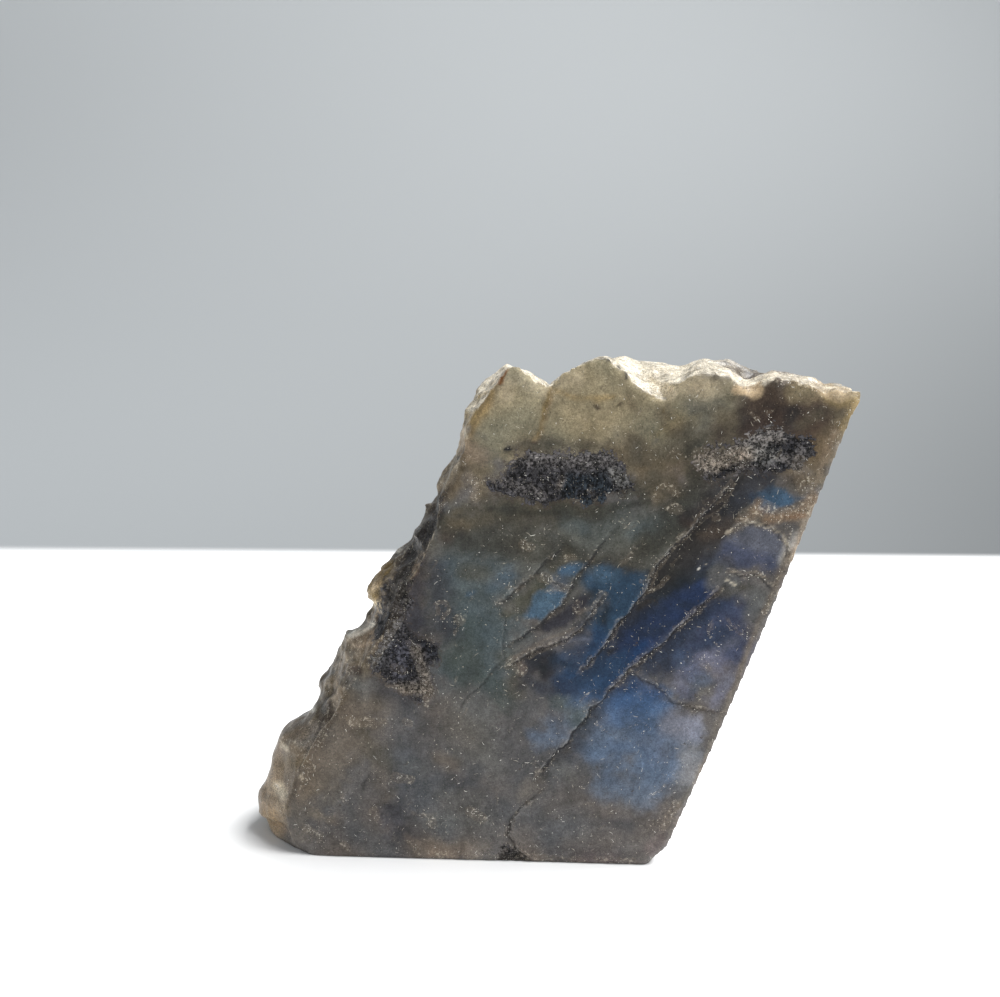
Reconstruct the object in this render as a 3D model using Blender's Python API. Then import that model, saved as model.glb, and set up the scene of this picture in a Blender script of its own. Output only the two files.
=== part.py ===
"""A rough chunk of labradorite feldspar: one solid stone, sawn on its front, right end and
underside, and broken along its top, left end and back.

The stone is lofted through three sections that lie one behind the other, and each section has one
point for each station round the stone. X runs to the right along the front, Y runs from the front
to the back and Z is up. The stone rests on its sawn underside, with the origin at the middle of
the bottom of its bounding box.
"""

import math

import bmesh
import bpy
from mathutils import Matrix, Vector, noise
from mathutils.geometry import delaunay_2d_cdt

MM = 0.001

# Driving sizes, in millimetres.
GIRTH_DEPTH = 8.0
THICKNESS = 26.0
RIM_STEP = 1.6
FRONT_ROWS = 5
BACK_ROWS = 8
FRONT_GRID = 2.2
BACK_GRID = 2.1
GRID_MARGIN = 0.62

# Each station is a point of the front section, of the girth section and of the back section,
# as (x, z), and the surface that runs on from it to the next station. The stations go round
# the stone from the left end of the underside.
SAWN = 0.0
BROKEN = 1.0
UNDERSIDE = (
    ((-29.8, 0.0), (-38.2, 0.0), (-31.4, 0.0), SAWN),
    ((-20.0, 0.0), (-22.0, 0.0), (-19.0, 0.0), SAWN),
    ((-8.5, 0.0), (-9.0, 0.0), (-8.0, 0.0), SAWN),
    ((3.0, 0.0), (3.5, 0.0), (3.5, 0.0), SAWN),
    ((15.8, 0.0), (17.9, 0.0), (17.9, 0.0), SAWN),
)
RIGHT_END = (
    ((18.8, 2.6), (18.8, 2.6), (18.8, 2.6), SAWN),
    ((24.1, 17.3), (24.1, 17.3), (24.1, 17.3), SAWN),
    ((29.6, 33.4), (29.5, 33.4), (29.4, 33.0), SAWN),
    ((34.9, 50.0), (34.8, 50.0), (34.6, 49.0), SAWN),
)
TOP = (
    ((40.0, 66.3), (39.9, 66.1), (39.3, 64.2), BROKEN),
    ((34.1, 67.1), (34.1, 67.2), (33.5, 65.4), BROKEN),
    ((29.2, 67.7), (29.3, 67.9), (29.0, 66.3), BROKEN),
    ((27.8, 65.6), (27.6, 67.9), (27.3, 66.6), BROKEN),
    ((26.0, 65.7), (25.6, 68.0), (25.2, 66.9), BROKEN),
    ((24.2, 67.0), (24.2, 68.1), (23.8, 67.0), BROKEN),
    ((20.5, 67.1), (20.5, 68.4), (20.3, 67.1), BROKEN),
    ((17.2, 67.4), (17.5, 68.6), (17.4, 67.2), BROKEN),
    ((16.8, 64.5), (16.0, 68.4), (16.0, 67.1), BROKEN),
    ((11.9, 67.6), (12.3, 68.8), (12.4, 67.2), BROKEN),
    ((9.0, 70.4), (9.3, 69.3), (10.0, 67.3), BROKEN),
    ((7.4, 70.8), (7.6, 69.3), (7.4, 66.8), BROKEN),
    ((4.9, 69.5), (5.2, 68.0), (4.4, 65.6), BROKEN),
    ((1.3, 66.5), (1.8, 65.3), (1.0, 64.0), BROKEN),
    ((-1.7, 68.4), (-1.5, 66.8), (-2.0, 64.2), BROKEN),
)
LEFT_END = (
    ((-3.9, 69.1), (-4.1, 67.4), (-4.2, 63.4), BROKEN),
    ((-5.9, 65.6), (-7.4, 65.0), (-5.8, 61.0), BROKEN),
    ((-7.7, 62.0), (-10.0, 61.2), (-7.6, 57.0), BROKEN),
    ((-9.9, 57.7), (-11.6, 56.6), (-10.0, 52.5), BROKEN),
    ((-11.3, 53.8), (-13.4, 53.6), (-12.3, 49.0), BROKEN),
    ((-12.6, 50.5), (-14.4, 50.0), (-13.6, 45.6), BROKEN),
    ((-13.3, 47.9), (-16.4, 46.2), (-15.0, 42.0), BROKEN),
    ((-15.0, 43.6), (-19.4, 42.0), (-17.4, 38.4), BROKEN),
    ((-17.0, 39.6), (-21.6, 38.4), (-19.2, 34.5), BROKEN),
    ((-19.0, 34.8), (-23.5, 34.0), (-21.5, 30.0), BROKEN),
    ((-21.6, 31.2), (-26.6, 29.4), (-24.2, 25.5), BROKEN),
    ((-24.2, 25.6), (-29.4, 25.0), (-27.0, 20.5), BROKEN),
    ((-27.0, 20.8), (-31.6, 20.4), (-29.5, 15.5), BROKEN),
    ((-28.6, 18.0), (-32.6, 17.9), (-30.6, 12.5), BROKEN),
    ((-30.4, 15.0), (-36.0, 15.8), (-32.0, 9.5), BROKEN),
    ((-31.6, 11.4), (-38.4, 10.6), (-33.4, 6.0), BROKEN),
    ((-33.4, 6.6), (-40.0, 5.2), (-33.6, 3.0), BROKEN),
    ((-33.4, 2.6), (-39.6, 1.8), (-32.8, 1.2), BROKEN),
)
STATIONS = UNDERSIDE + RIGHT_END + TOP + LEFT_END

# Cleavage ledges across the back: the stone gets thinner by drop on the side to the left of
# a line through the point at, which runs at the angle in degrees, over the distance run.
LEDGES = (
    {"at": (21.0, 30.0), "angle": 62.0, "drop": -3.6, "run": 2.2},
    {"at": (4.0, 52.0), "angle": 38.0, "drop": 2.6, "run": 1.6},
    {"at": (-9.0, 34.0), "angle": 60.0, "drop": 3.2, "run": 2.6},
    {"at": (-20.0, 14.0), "angle": 66.0, "drop": 2.2, "run": 2.0},
    {"at": (6.0, 16.0), "angle": -14.0, "drop": 1.8, "run": 1.4},
    {"at": (26.0, 60.0), "angle": 8.0, "drop": 2.4, "run": 1.8},
)
LEDGE_WANDER = 2.4
LEDGE_WAVE = 9.0

# Break texture: flat cleavage facets, longer along the cleavage than across it, and a fine grain.
CLEAVAGE_ANGLE = 52.0
FACET_SIZE = (7.0, 9.0, 17.0)
FACET_LIFT = 2.0
FACET_TILT = 0.6
FACET_LIMIT = 1.5
FACET_SHARE_IN_FRONT = 0.4
OWN_WEIGHT = 2.0
GRAIN_SIZE = 3.4
GRAIN_REACH = 0.35
GRAIN_AT_SEAT = 0.3
SEAT_CLEAR = 2.5

# Where the random fields are read, so that they differ from each other and stay the same.
TILT_SEED = 17.3
LIFT_SEED = 31.7
WANDER_SEED = 5.0
GRAIN_SEED = (9.0, 3.0, 1.0)

# Shallow pits in the sawn front, where soft dark mineral has broken out: the middle of each as
# (x, z), its half length and half height, the angle of its long side and its depth.
PITS = (
    {"at": (4.4, 54.6), "half": (9.0, 3.6), "angle": -2.0, "depth": 0.7},
    {"at": (27.2, 58.4), "half": (8.6, 2.9), "angle": 16.0, "depth": 0.6},
    {"at": (-17.6, 31.4), "half": (5.8, 3.0), "angle": 64.0, "depth": 0.9},
)
PIT_STEEPNESS = 3.0
ON_PLANE = 1e-6

STONE_COLOUR = (0.145, 0.135, 0.115, 1.0)
STONE_ROUGHNESS = 0.45


def clear_scene():
    for old in list(bpy.data.objects):
        bpy.data.objects.remove(old)


def smooth_step(value):
    held = min(max(value, 0.0), 1.0)
    return held * held * (3.0 - 2.0 * held)


def facet_height(place):
    """The height of the cleavage facet at a place: each facet is flat, with a tilt of its own."""
    turned = Matrix.Rotation(math.radians(CLEAVAGE_ANGLE), 3, "Y") @ place
    cell = Vector((turned[axis] / FACET_SIZE[axis] for axis in range(3)))
    centre = noise.voronoi(cell)[1][0]
    tilt = noise.cell_vector(centre * TILT_SEED) - Vector((0.5, 0.5, 0.5))
    away = Vector(((cell - centre)[axis] * FACET_SIZE[axis] for axis in range(3)))
    height = (noise.cell(centre * LIFT_SEED) - 0.5) * FACET_LIFT + away.dot(tilt) * FACET_TILT
    return min(max(height, -FACET_LIMIT), FACET_LIMIT)


def even_out(heights):
    """Each height drawn towards its neighbours', so that the steps between facets run clean."""
    evened = {}
    for vert in heights:
        around = [heights.get(edge.other_vert(vert), heights[vert]) for edge in vert.link_edges]
        evened[vert] = (OWN_WEIGHT * heights[vert] + sum(around) / len(around)) / (OWN_WEIGHT + 1.0)
    return evened


def front_depth(x, z):
    """How deep the sawn front lies below its plane: nothing except in its pits."""
    depth = 0.0
    for pit in PITS:
        angle = math.radians(pit["angle"])
        aside = Vector((x - pit["at"][0], z - pit["at"][1]))
        along = aside.x * math.cos(angle) + aside.y * math.sin(angle)
        across = aside.y * math.cos(angle) - aside.x * math.sin(angle)
        reach = math.hypot(along / pit["half"][0], across / pit["half"][1])
        depth = max(depth, pit["depth"] * smooth_step((1.0 - reach) * PIT_STEEPNESS))
    return depth


def back_depth(x, z):
    """How far the broken back lies behind the sawn front, at a point of the front."""
    depth = THICKNESS
    wander = LEDGE_WANDER * noise.noise(Vector((x, z, WANDER_SEED)) / LEDGE_WAVE)
    for ledge in LEDGES:
        angle = math.radians(ledge["angle"])
        across = -math.sin(angle) * (x - ledge["at"][0]) + math.cos(angle) * (z - ledge["at"][1])
        share = smooth_step((across + wander) / ledge["run"] + 0.5)
        depth -= abs(ledge["drop"]) * (share if ledge["drop"] > 0 else 1.0 - share)
    return depth


def spread_stations():
    """The stations with more between them, so that no step round the front is over RIM_STEP."""
    spread = []
    for here, following in zip(STATIONS, STATIONS[1:] + STATIONS[:1]):
        run = max(math.dist(here[0], following[0]), math.dist(here[1], following[1]))
        steps = max(1, math.ceil(run / RIM_STEP))
        for step in range(steps):
            share = step / steps
            points = [Vector(a).lerp(Vector(b), share) for a, b in zip(here[:3], following[:3])]
            spread.append((*points, here[3] if step else max(here[3], spread_before(here))))
    return spread


def spread_before(station):
    """The surface that arrives at a station: a corner of a broken surface is broken."""
    return STATIONS[STATIONS.index(station) - 1][3]


def ring_sections(stations):
    """Rows of points (x, y, z) from the front edge of the rim to its back edge."""
    rows = []
    for row in range(FRONT_ROWS + 1):
        share = row / FRONT_ROWS
        bulge = math.sin(share * math.pi / 2)
        rows.append([(*front.lerp(girth, bulge), share * GIRTH_DEPTH)
                     for front, girth, _, _ in stations])
    for row in range(1, BACK_ROWS + 1):
        share = row / BACK_ROWS
        tuck = 1.0 - math.cos(share * math.pi / 2)
        points = []
        for _, girth, back, _ in stations:
            x, z = girth.lerp(back, tuck)
            depth = back_depth(x, z)
            points.append((x, z, GIRTH_DEPTH + share * (depth - GIRTH_DEPTH)))
        rows.append(points)
    return [[Vector((x, y, z)) for x, z, y in row] for row in rows]


def inside_points(outline, spacing):
    """A triangular grid of points inside an outline, clear of its edge."""
    margin = spacing * GRID_MARGIN
    low = Vector((min(p.x for p in outline), min(p.y for p in outline)))
    high = Vector((max(p.x for p in outline), max(p.y for p in outline)))
    rise = spacing * math.sqrt(3) / 2
    points = []
    for row in range(int((high.y - low.y) / rise) + 1):
        for column in range(int((high.x - low.x) / spacing) + 2):
            point = low + Vector(((column + 0.5 * (row % 2)) * spacing, (row + 0.5) * rise))
            if is_inside(point, outline) and edge_distance(point, outline) > margin:
                points.append(point)
    return points


def is_inside(point, outline):
    crossings = 0
    for a, b in zip(outline, outline[1:] + outline[:1]):
        if (a.y > point.y) != (b.y > point.y):
            crossings += point.x < a.x + (point.y - a.y) / (b.y - a.y) * (b.x - a.x)
    return crossings % 2 == 1


def edge_distance(point, outline):
    nearest = math.inf
    for a, b in zip(outline, outline[1:] + outline[:1]):
        along = b - a
        share = min(max((point - a).dot(along) / along.length_squared, 0.0), 1.0)
        nearest = min(nearest, (point - a - along * share).length)
    return nearest


def add_cap(mesh, ring, spacing, depth_at):
    """Closes one end of the rim with even triangles and returns the new inner vertices."""
    outline = [Vector((v.co.x, v.co.z)) for v in ring]
    inner = inside_points(outline, spacing)
    added = [mesh.verts.new((p.x, depth_at(p.x, p.y), p.y)) for p in inner]
    known = ring + added
    _, _, faces, origins, _, _ = delaunay_2d_cdt(
        outline + inner, [], [list(range(len(outline)))], 1, 1e-6)
    for face in faces:
        mesh.faces.new([known[origins[corner][0]] for corner in face])
    return added


def build_shell(mesh, stations):
    """The rim and its two caps. Returns the break share of each vertex."""
    rows = [[mesh.verts.new(point) for point in row] for row in ring_sections(stations)]
    share = {}
    for row in rows:
        for vert, station in zip(row, stations):
            share[vert] = station[3]
    count = len(stations)
    for near, far in zip(rows, rows[1:]):
        for i in range(count):
            j = (i + 1) % count
            mesh.faces.new((near[i], near[j], far[j], far[i]))
    for vert in add_cap(mesh, rows[0], FRONT_GRID, front_depth):
        share[vert] = SAWN
    for vert in add_cap(mesh, rows[-1], BACK_GRID, back_depth):
        share[vert] = BROKEN
    bmesh.ops.recalc_face_normals(mesh, faces=mesh.faces[:])
    mesh.normal_update()
    return share


def roughen(mesh, share):
    """Moves the broken surfaces in and out. The front's edge stays in the front's plane, and
    near the underside the break fades so that the stone keeps its seat."""
    broken = [vert for vert in mesh.verts if share[vert] == BROKEN]
    heights = even_out({vert: facet_height(vert.co) for vert in broken})
    moves = {}
    for vert in broken:
        place = vert.co.copy()
        grain = noise.noise(place / GRAIN_SIZE + Vector(GRAIN_SEED)) * GRAIN_REACH
        seat = smooth_step(place.z / SEAT_CLEAR)
        behind = smooth_step(place.y / THICKNESS)
        strength = FACET_SHARE_IN_FRONT + (1.0 - FACET_SHARE_IN_FRONT) * behind
        direction = vert.normal.copy()
        if place.y < ON_PLANE:
            direction.y = 0.0
        if place.z < ON_PLANE:
            direction.z = 0.0
        moves[vert] = direction * (heights[vert] * seat * strength + grain * max(seat, GRAIN_AT_SEAT))
    for vert, move in moves.items():
        vert.co += move
        vert.co.z = max(vert.co.z, 0.0)


def finish_stone(mesh):
    """Triangulates, centres the stone over its underside and turns millimetres into metres."""
    bmesh.ops.triangulate(mesh, faces=mesh.faces[:])
    low = [min(v.co[axis] for v in mesh.verts) for axis in range(3)]
    high = [max(v.co[axis] for v in mesh.verts) for axis in range(3)]
    middle = Vector(((low[0] + high[0]) / 2, (low[1] + high[1]) / 2, low[2]))
    for vert in mesh.verts:
        vert.co = (vert.co - middle) * MM


def stone_material():
    material = bpy.data.materials.new("labradorite")
    material.use_nodes = True
    shader = material.node_tree.nodes["Principled BSDF"]
    shader.inputs["Base Color"].default_value = STONE_COLOUR
    shader.inputs["Roughness"].default_value = STONE_ROUGHNESS
    shader.inputs["Metallic"].default_value = 0.0
    return material


def build_stone():
    mesh = bmesh.new()
    share = build_shell(mesh, spread_stations())
    roughen(mesh, share)
    finish_stone(mesh)
    data = bpy.data.meshes.new("labradorite_chunk")
    mesh.to_mesh(data)
    mesh.free()
    data.materials.append(stone_material())
    stone = bpy.data.objects.new("labradorite_chunk", data)
    bpy.context.scene.collection.objects.link(stone)
    print("labradorite_chunk:", len(data.polygons), "triangles")
    return stone


clear_scene()
build_stone()
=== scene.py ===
import math
import random

import bpy
import numpy as np
from mathutils import Euler, Matrix, Vector


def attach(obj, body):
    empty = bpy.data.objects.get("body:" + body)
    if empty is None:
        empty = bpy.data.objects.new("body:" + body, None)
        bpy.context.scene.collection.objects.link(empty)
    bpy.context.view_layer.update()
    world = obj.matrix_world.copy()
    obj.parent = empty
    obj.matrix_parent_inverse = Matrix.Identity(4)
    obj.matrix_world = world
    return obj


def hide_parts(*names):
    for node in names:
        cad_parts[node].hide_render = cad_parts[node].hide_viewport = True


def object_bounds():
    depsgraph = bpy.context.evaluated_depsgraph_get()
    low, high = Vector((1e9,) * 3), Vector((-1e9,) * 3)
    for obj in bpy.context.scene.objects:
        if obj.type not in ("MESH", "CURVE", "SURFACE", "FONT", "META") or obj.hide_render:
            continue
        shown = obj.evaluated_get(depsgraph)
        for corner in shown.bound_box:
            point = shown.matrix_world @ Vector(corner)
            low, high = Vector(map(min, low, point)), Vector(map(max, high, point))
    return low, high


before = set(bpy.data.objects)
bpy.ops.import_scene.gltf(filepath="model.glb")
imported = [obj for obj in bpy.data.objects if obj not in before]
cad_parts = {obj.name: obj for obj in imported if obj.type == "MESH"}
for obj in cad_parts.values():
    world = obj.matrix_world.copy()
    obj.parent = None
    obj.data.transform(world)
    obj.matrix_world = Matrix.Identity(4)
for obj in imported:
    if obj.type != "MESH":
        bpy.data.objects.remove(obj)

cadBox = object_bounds()
mm = 0.001
nodeName = "labradorite_chunk"
stoneLow = np.array(cadBox[0]) / mm
stoneHigh = np.array(cadBox[1]) / mm
sawnFront = stoneLow[1]                 # the sawn front is a plane that faces -Y
noiseTurn = np.array(Euler((0.61, 0.37, 0.83)).to_matrix())

# Finishes are given as they look in the soft light on the sawn front, 0 to 255.
frontLight = 1.12                       # how much of that light a white front would send back
finishes = {
    "oliveGlow": (142, 132, 107),
    "oliveGrey": (123, 115, 94),
    "oliveDeep": (100, 90, 72),
    "mossGrey": (84, 86, 81),
    "mossSoft": (74, 75, 67),
    "mossDark": (65, 64, 58),
    "moss": (57, 57, 51),
    "umber": (69, 59, 51),
    "bark": (80, 75, 64),
    "barkWarm": (104, 92, 75),
    "sand": (99, 87, 69),
    "ochre": (127, 109, 80),
    "honey": (152, 131, 92),
    "iron": (112, 74, 44),
    "rust": (128, 107, 86),
    "mistTeal": (78, 87, 89),
    "mistGreen": (68, 75, 72),
    "mistGrey": (98, 97, 94),
    "warmGrey": (94, 90, 87),
    "tanGrey": (108, 100, 91),
    "pinkGrey": (105, 95, 92),
    "dimGrey": (80, 80, 81),
    "coal": (32, 33, 37),
    "coalBrown": (47, 45, 44),
    "ink": (33, 38, 43),
    "slate": (54, 56, 62),
    "slateViolet": (54, 54, 60),
    "slateDark": (46, 45, 47),
    "slateLight": (76, 73, 72),
    "chipCream": (199, 185, 158),
    "chipHoney": (162, 143, 115),
    "paleViolet": (110, 112, 130),
    "azureViolet": (70, 86, 112),
    "steel": (70, 93, 113),
    "teal": (43, 63, 82),
    "azure": (66, 90, 112),
    "royal": (34, 48, 76),
    "strong": (29, 55, 88),
    "strongSoft": (66, 92, 126),
    "navy": (40, 51, 70),
    "night": (33, 43, 60),
    "deepBlue": (38, 59, 84),
    "softBlue": (74, 94, 122),
    "hazeBlue": (92, 106, 125),
    "paleBlue": (119, 122, 134),
    "violet": (63, 70, 92),
    "violetGrey": (89, 92, 102),
    "paleGrey": (126, 125, 126),
    "pinkTan": (124, 112, 101),
    "tan": (133, 118, 100),
    "cream": (200, 191, 172),
    "milk": (226, 222, 212),
    "frost": (168, 167, 163),
    "glow": (214, 203, 180),
    "sandFrost": (165, 155, 138),
    "oliveBrown": (116, 99, 66),
    "umberDark": (60, 49, 43),
    "breakCream": (230, 220, 200),
    "breakGrey": (172, 168, 162),
    "topGlow": (166, 155, 131),
}


def asLight(value):
    part = value / 255
    return part / 12.92 if part <= 0.04045 else ((part + 0.055) / 1.055) ** 2.4


def albedo(name):
    return np.array([asLight(value) / frontLight for value in finishes[name]])


def ease(value):
    held = np.clip(value, 0, 1)
    return held * held * (3 - 2 * held)


def deselectAll():
    if bpy.context.object and bpy.context.object.mode != "OBJECT":
        bpy.ops.object.mode_set(mode="OBJECT")
    bpy.ops.object.select_all(action="DESELECT")


def makeActive(thing):
    deselectAll()
    thing.select_set(True)
    bpy.context.view_layer.objects.active = thing


# The stone: an even mesh over the solid, finer where it is seen close.
stoneMake = {
    "voxel": 0.60,           # step of the even mesh, mm
    "leftFrom": -1.5,        # the left end is finer in front of this Y, mm
    "topFrom": 56,           # and the top above this height, mm
    "frontReach": 1.3,       # how far behind the front plane its pits go, mm
    "endLean": -18,          # degrees that the sawn right end leans
    "backFrom": 9,           # the back starts this far behind the front plane, mm
    "backOver": 8,           # and takes this long to do so
    "smoothAngle": 38,       # edges sharper than this stay crisp, degrees
    "cornerGrow": 0.39,      # mm, at the bottom
    "cornerReach": 1.2,      # mm
}

# The broken surfaces: flat facets in two sizes and, over them, hollows with sharp rims, drawn out
# along the cleavage, which stands at this angle on the front. A facet lifts, tilts and curves by so
# many mm, its flank rises from the distance rimAt, and level is what is taken off the whole.
cleavageAngle = 56
facets = (
    {"size": (8.0, 6.5, 11.0), "lift": 1.1, "tilt": 0.12, "curve": 0.5, "flank": 5.0,
     "rimAt": 0.55, "level": 0.1, "seed": 3.0},
    {"size": (2.8, 2.3, 4.0), "lift": 0.32, "tilt": 0.12, "curve": 0.2, "flank": 1.8,
     "rimAt": 0.55, "level": 0.05, "seed": 13.0},
)
backFacets = {"lift": 0.5, "tilt": 1.4, "curve": -0.85}    # the change of each towards the back
hollows = (
    {"size": 4.0, "depth": 0.25, "stretch": (1, 1, 1.6), "seed": 4.0},
    {"size": 1.3, "depth": 0.16, "stretch": (1, 1, 1.3), "seed": 9.0},
)


def copyOfNode():
    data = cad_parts[nodeName].data.copy()
    stone = bpy.data.objects.new("rough_labradorite", data)
    bpy.context.scene.collection.objects.link(stone)
    makeActive(stone)
    bpy.ops.object.mode_set(mode="EDIT")
    bpy.ops.mesh.select_all(action="SELECT")
    bpy.ops.mesh.remove_doubles(threshold=0.001 * mm)
    bpy.ops.object.mode_set(mode="OBJECT")
    data.materials.clear()
    return stone


def evenMesh(stone):
    remesh = stone.modifiers.new("even", "REMESH")
    remesh.mode = "VOXEL"
    remesh.voxel_size = stoneMake["voxel"] * mm
    remesh.adaptivity = 0
    makeActive(stone)
    bpy.ops.object.modifier_apply(modifier=remesh.name)
    bpy.ops.object.mode_set(mode="EDIT")
    bpy.ops.mesh.select_mode(type="FACE")
    bpy.ops.mesh.select_all(action="DESELECT")
    bpy.ops.object.mode_set(mode="OBJECT")
    reach = (sawnFront + stoneMake["frontReach"]) * mm
    leftFrom = stoneMake["leftFrom"] * mm
    topFrom = stoneMake["topFrom"] * mm
    for face in stone.data.polygons:
        onFront = face.normal.y < -0.5 and face.center.y < reach
        onLeft = face.normal.x < -0.35 and face.normal.y < 0.5 and face.center.y < leftFrom
        onTop = face.normal.z > 0.45 and face.center.z > topFrom
        face.select = bool(onFront or onLeft or onTop)
    bpy.ops.object.mode_set(mode="EDIT")
    bpy.ops.mesh.subdivide(number_cuts=1)
    bpy.ops.object.mode_set(mode="OBJECT")


def readPoints(mesh):
    points = np.empty(len(mesh.vertices) * 3)
    mesh.vertices.foreach_get("co", points)
    return points.reshape(-1, 3) / mm


def writePoints(mesh, points):
    held = np.clip(points, stoneLow, stoneHigh)
    mesh.vertices.foreach_set("co", (held * mm).ravel())
    mesh.update()


def readNormals(mesh):
    normals = np.empty(len(mesh.vertices) * 3)
    mesh.vertices.foreach_get("normal", normals)
    return normals.reshape(-1, 3)


def steadyRandom(x, y, z, seed):
    # a number from 0 to 1 for each whole-number cell, the same every run
    mixed = x * 73856093 ^ y * 19349663 ^ z * 83492791 ^ int(seed * 7919)
    mixed = (mixed ^ mixed >> 13) * 1274126177 & 0xFFFFFFFF
    mixed = (mixed ^ mixed >> 15) * 2246822519 & 0xFFFFFFFF
    return (mixed ^ mixed >> 16 & 0xFFFFFFFF) / 0xFFFFFFFF


def noiseAt(points, size, seed, stretch=(1, 1, 1)):
    # smooth noise from -1 to 1
    turned = (points / np.array(stretch) @ noiseTurn / size + seed * 3.7).T
    base = np.floor(turned)
    share = turned - base
    u, v, w = share * share * (3 - 2 * share)
    x, y, z = base.astype(np.int64)
    layers = []
    for up in (0, 1):
        rows = []
        for across in (0, 1):
            start = steadyRandom(x, y + across, z + up, seed)
            rows.append(start + (steadyRandom(x + 1, y + across, z + up, seed) - start) * u)
        layers.append(rows[0] + (rows[1] - rows[0]) * v)
    return (layers[0] + (layers[1] - layers[0]) * w) * 2 - 1


def alongCleavage(points):
    # the points turned so that local Z runs along the cleavage
    turn = np.array(Matrix.Rotation(math.radians(90 - cleavageAngle), 3, "Y"))
    return points @ turn


def facetHeight(points, facet):
    # every cell has a nearly flat tilted facet that curves up round its rim, and the lowest of
    # those near a point counts, so the facets meet in sharp ridges
    size = np.array(facet["size"])
    cells = alongCleavage(points) / size
    back = backShare(points)
    more = {name: 1 + back * change for name, change in backFacets.items()}
    base = np.floor(cells).astype(np.int64)
    height = np.full(len(points), 9.0)
    for step in np.ndindex(3, 3, 3):
        cell = base + np.array(step) - 1
        draws = [steadyRandom(*cell.T, facet["seed"] + number) for number in range(7)]
        away = cells - cell - np.stack(draws[:3], axis=1)
        reach = np.sqrt((away ** 2).sum(axis=1))
        tilt = (np.stack(draws[3:6], axis=1) - 0.5) * 2 * facet["tilt"]
        plane = (draws[6] - 0.5) * facet["lift"] * more["lift"]
        plane += (away * size * tilt).sum(axis=1) * more["tilt"]
        rim = facet["curve"] * reach ** 2 * more["curve"]
        rim += facet["flank"] * np.clip(reach - facet["rimAt"], 0, 9) ** 2
        height = np.minimum(height, plane + rim)
    return np.clip(height - facet["level"], -facet["lift"], facet["lift"])


def hollowHeight(points):
    # sharp rims where the noise crosses zero, and round hollows between them
    turned = alongCleavage(points)
    height = np.zeros(len(points))
    for hollow in hollows:
        depth = np.abs(noiseAt(turned, hollow["size"], hollow["seed"], hollow["stretch"]))
        height += (0.3 - depth) * hollow["depth"]
    return height


def behindFront(points):
    return points[:, 1] - sawnFront


def backShare(points):
    return ease((behindFront(points) - stoneMake["backFrom"]) / stoneMake["backOver"])


def brokenShare(points, normals):
    # 1 on the broken surfaces, 0 on the sawn front, right end and underside
    front = ease((-normals[:, 1] - 0.4) / 0.3) * (points[:, 1] < sawnFront + stoneMake["frontReach"])
    under = ease((-normals[:, 2] - 0.4) / 0.3) * (points[:, 2] < 0.6)
    lean = math.radians(stoneMake["endLean"])
    end = ease((normals @ np.array((math.cos(lean), 0, math.sin(lean))) - 0.62) / 0.2)
    return np.clip(1 - front - under - end, 0, 1)


def neighbourMean(mesh, values):
    # the mean of the values at each point's neighbours
    pairs = np.empty(len(mesh.edges) * 2, int)
    mesh.edges.foreach_get("vertices", pairs)
    first, second = pairs.reshape(-1, 2).T
    total = np.zeros_like(values)
    np.add.at(total, first, values[second])
    np.add.at(total, second, values[first])
    return (total.T / np.bincount(pairs, minlength=len(values))).T


def spread(mesh, values, rounds):
    # each value shared with its neighbours over and over
    for _ in range(rounds):
        values = 0.5 * values + 0.5 * neighbourMean(mesh, values)
    return values


def relaxed(mesh, points, share, rounds):
    # each point drawn towards the middle of its neighbours over and over
    for _ in range(rounds):
        points = points + (neighbourMean(mesh, points) - points) * share[:, None] * 0.8
    return points


def breakUp(stone):
    # facets, hollows and a fine grain on the broken surfaces, fading out at the seat and at the
    # rear corner of the sawn end, which is then smoothed
    mesh = stone.data
    points = readPoints(mesh)
    normals = readNormals(mesh)
    broken = brokenShare(points, normals)
    inward = spread(mesh, broken, 5)
    behind = ease((behindFront(points) - 4) / 4)
    broken = broken * (1 - behind * (1 - ease(inward * 2 - 1)))
    wanted = np.nonzero(broken > 0.01)[0]
    place = points[wanted]
    wobble = np.stack([noiseAt(place, 1.6, seed) for seed in (3.1, 6.2, 9.4)], axis=1) * 0.5
    top = ease((place[:, 2] - 61) / 3) * ease((place[:, 0] + 8) / 6)
    large, little = [facetHeight(place + wobble * 0.4, facet) for facet in facets]
    height = large * (1 - 0.85 * top) + little * (1 - 0.2 * top)
    back = backShare(place)
    height += hollowHeight(place + wobble * 0.5) * (1 - 0.1 * top) * (1 - 0.6 * back)
    height += noiseAt(place, 0.6, 18.0, (4, 1, 1)) * 0.10 * top
    height += noiseAt(place, 0.7, 20.0) * 0.12 * (1 - top) * (1 - back)
    seat = ease((place[:, 2] - 0.3) / (2.2 + 4 * back))
    height += (noiseAt(place, 2.4, 19.0) * 0.3 - height) * 0.85 * lumpShare(place)
    rim = np.maximum(ease(behindFront(place) / 1.2) * 0.7 + 0.3, top)
    move = normals[wanted] * (height * broken[wanted] * seat * rim)[:, None]
    points[wanted] = place + move
    corner = ease(1.5 - np.abs(inward * 2 - 1) * 2) * behind * ease((points[:, 2] - 0.5) / 2)
    writePoints(mesh, relaxed(mesh, points, corner, 12))


def squareCorners(stone):
    # the even mesh cuts the corners at the seat, so they are pushed back out
    mesh = stone.data
    points = readPoints(mesh)
    points[:, 2] -= stoneMake["cornerGrow"] * np.clip(1 - points[:, 2] / stoneMake["cornerReach"], 0, 1)
    writePoints(mesh, points)


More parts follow.
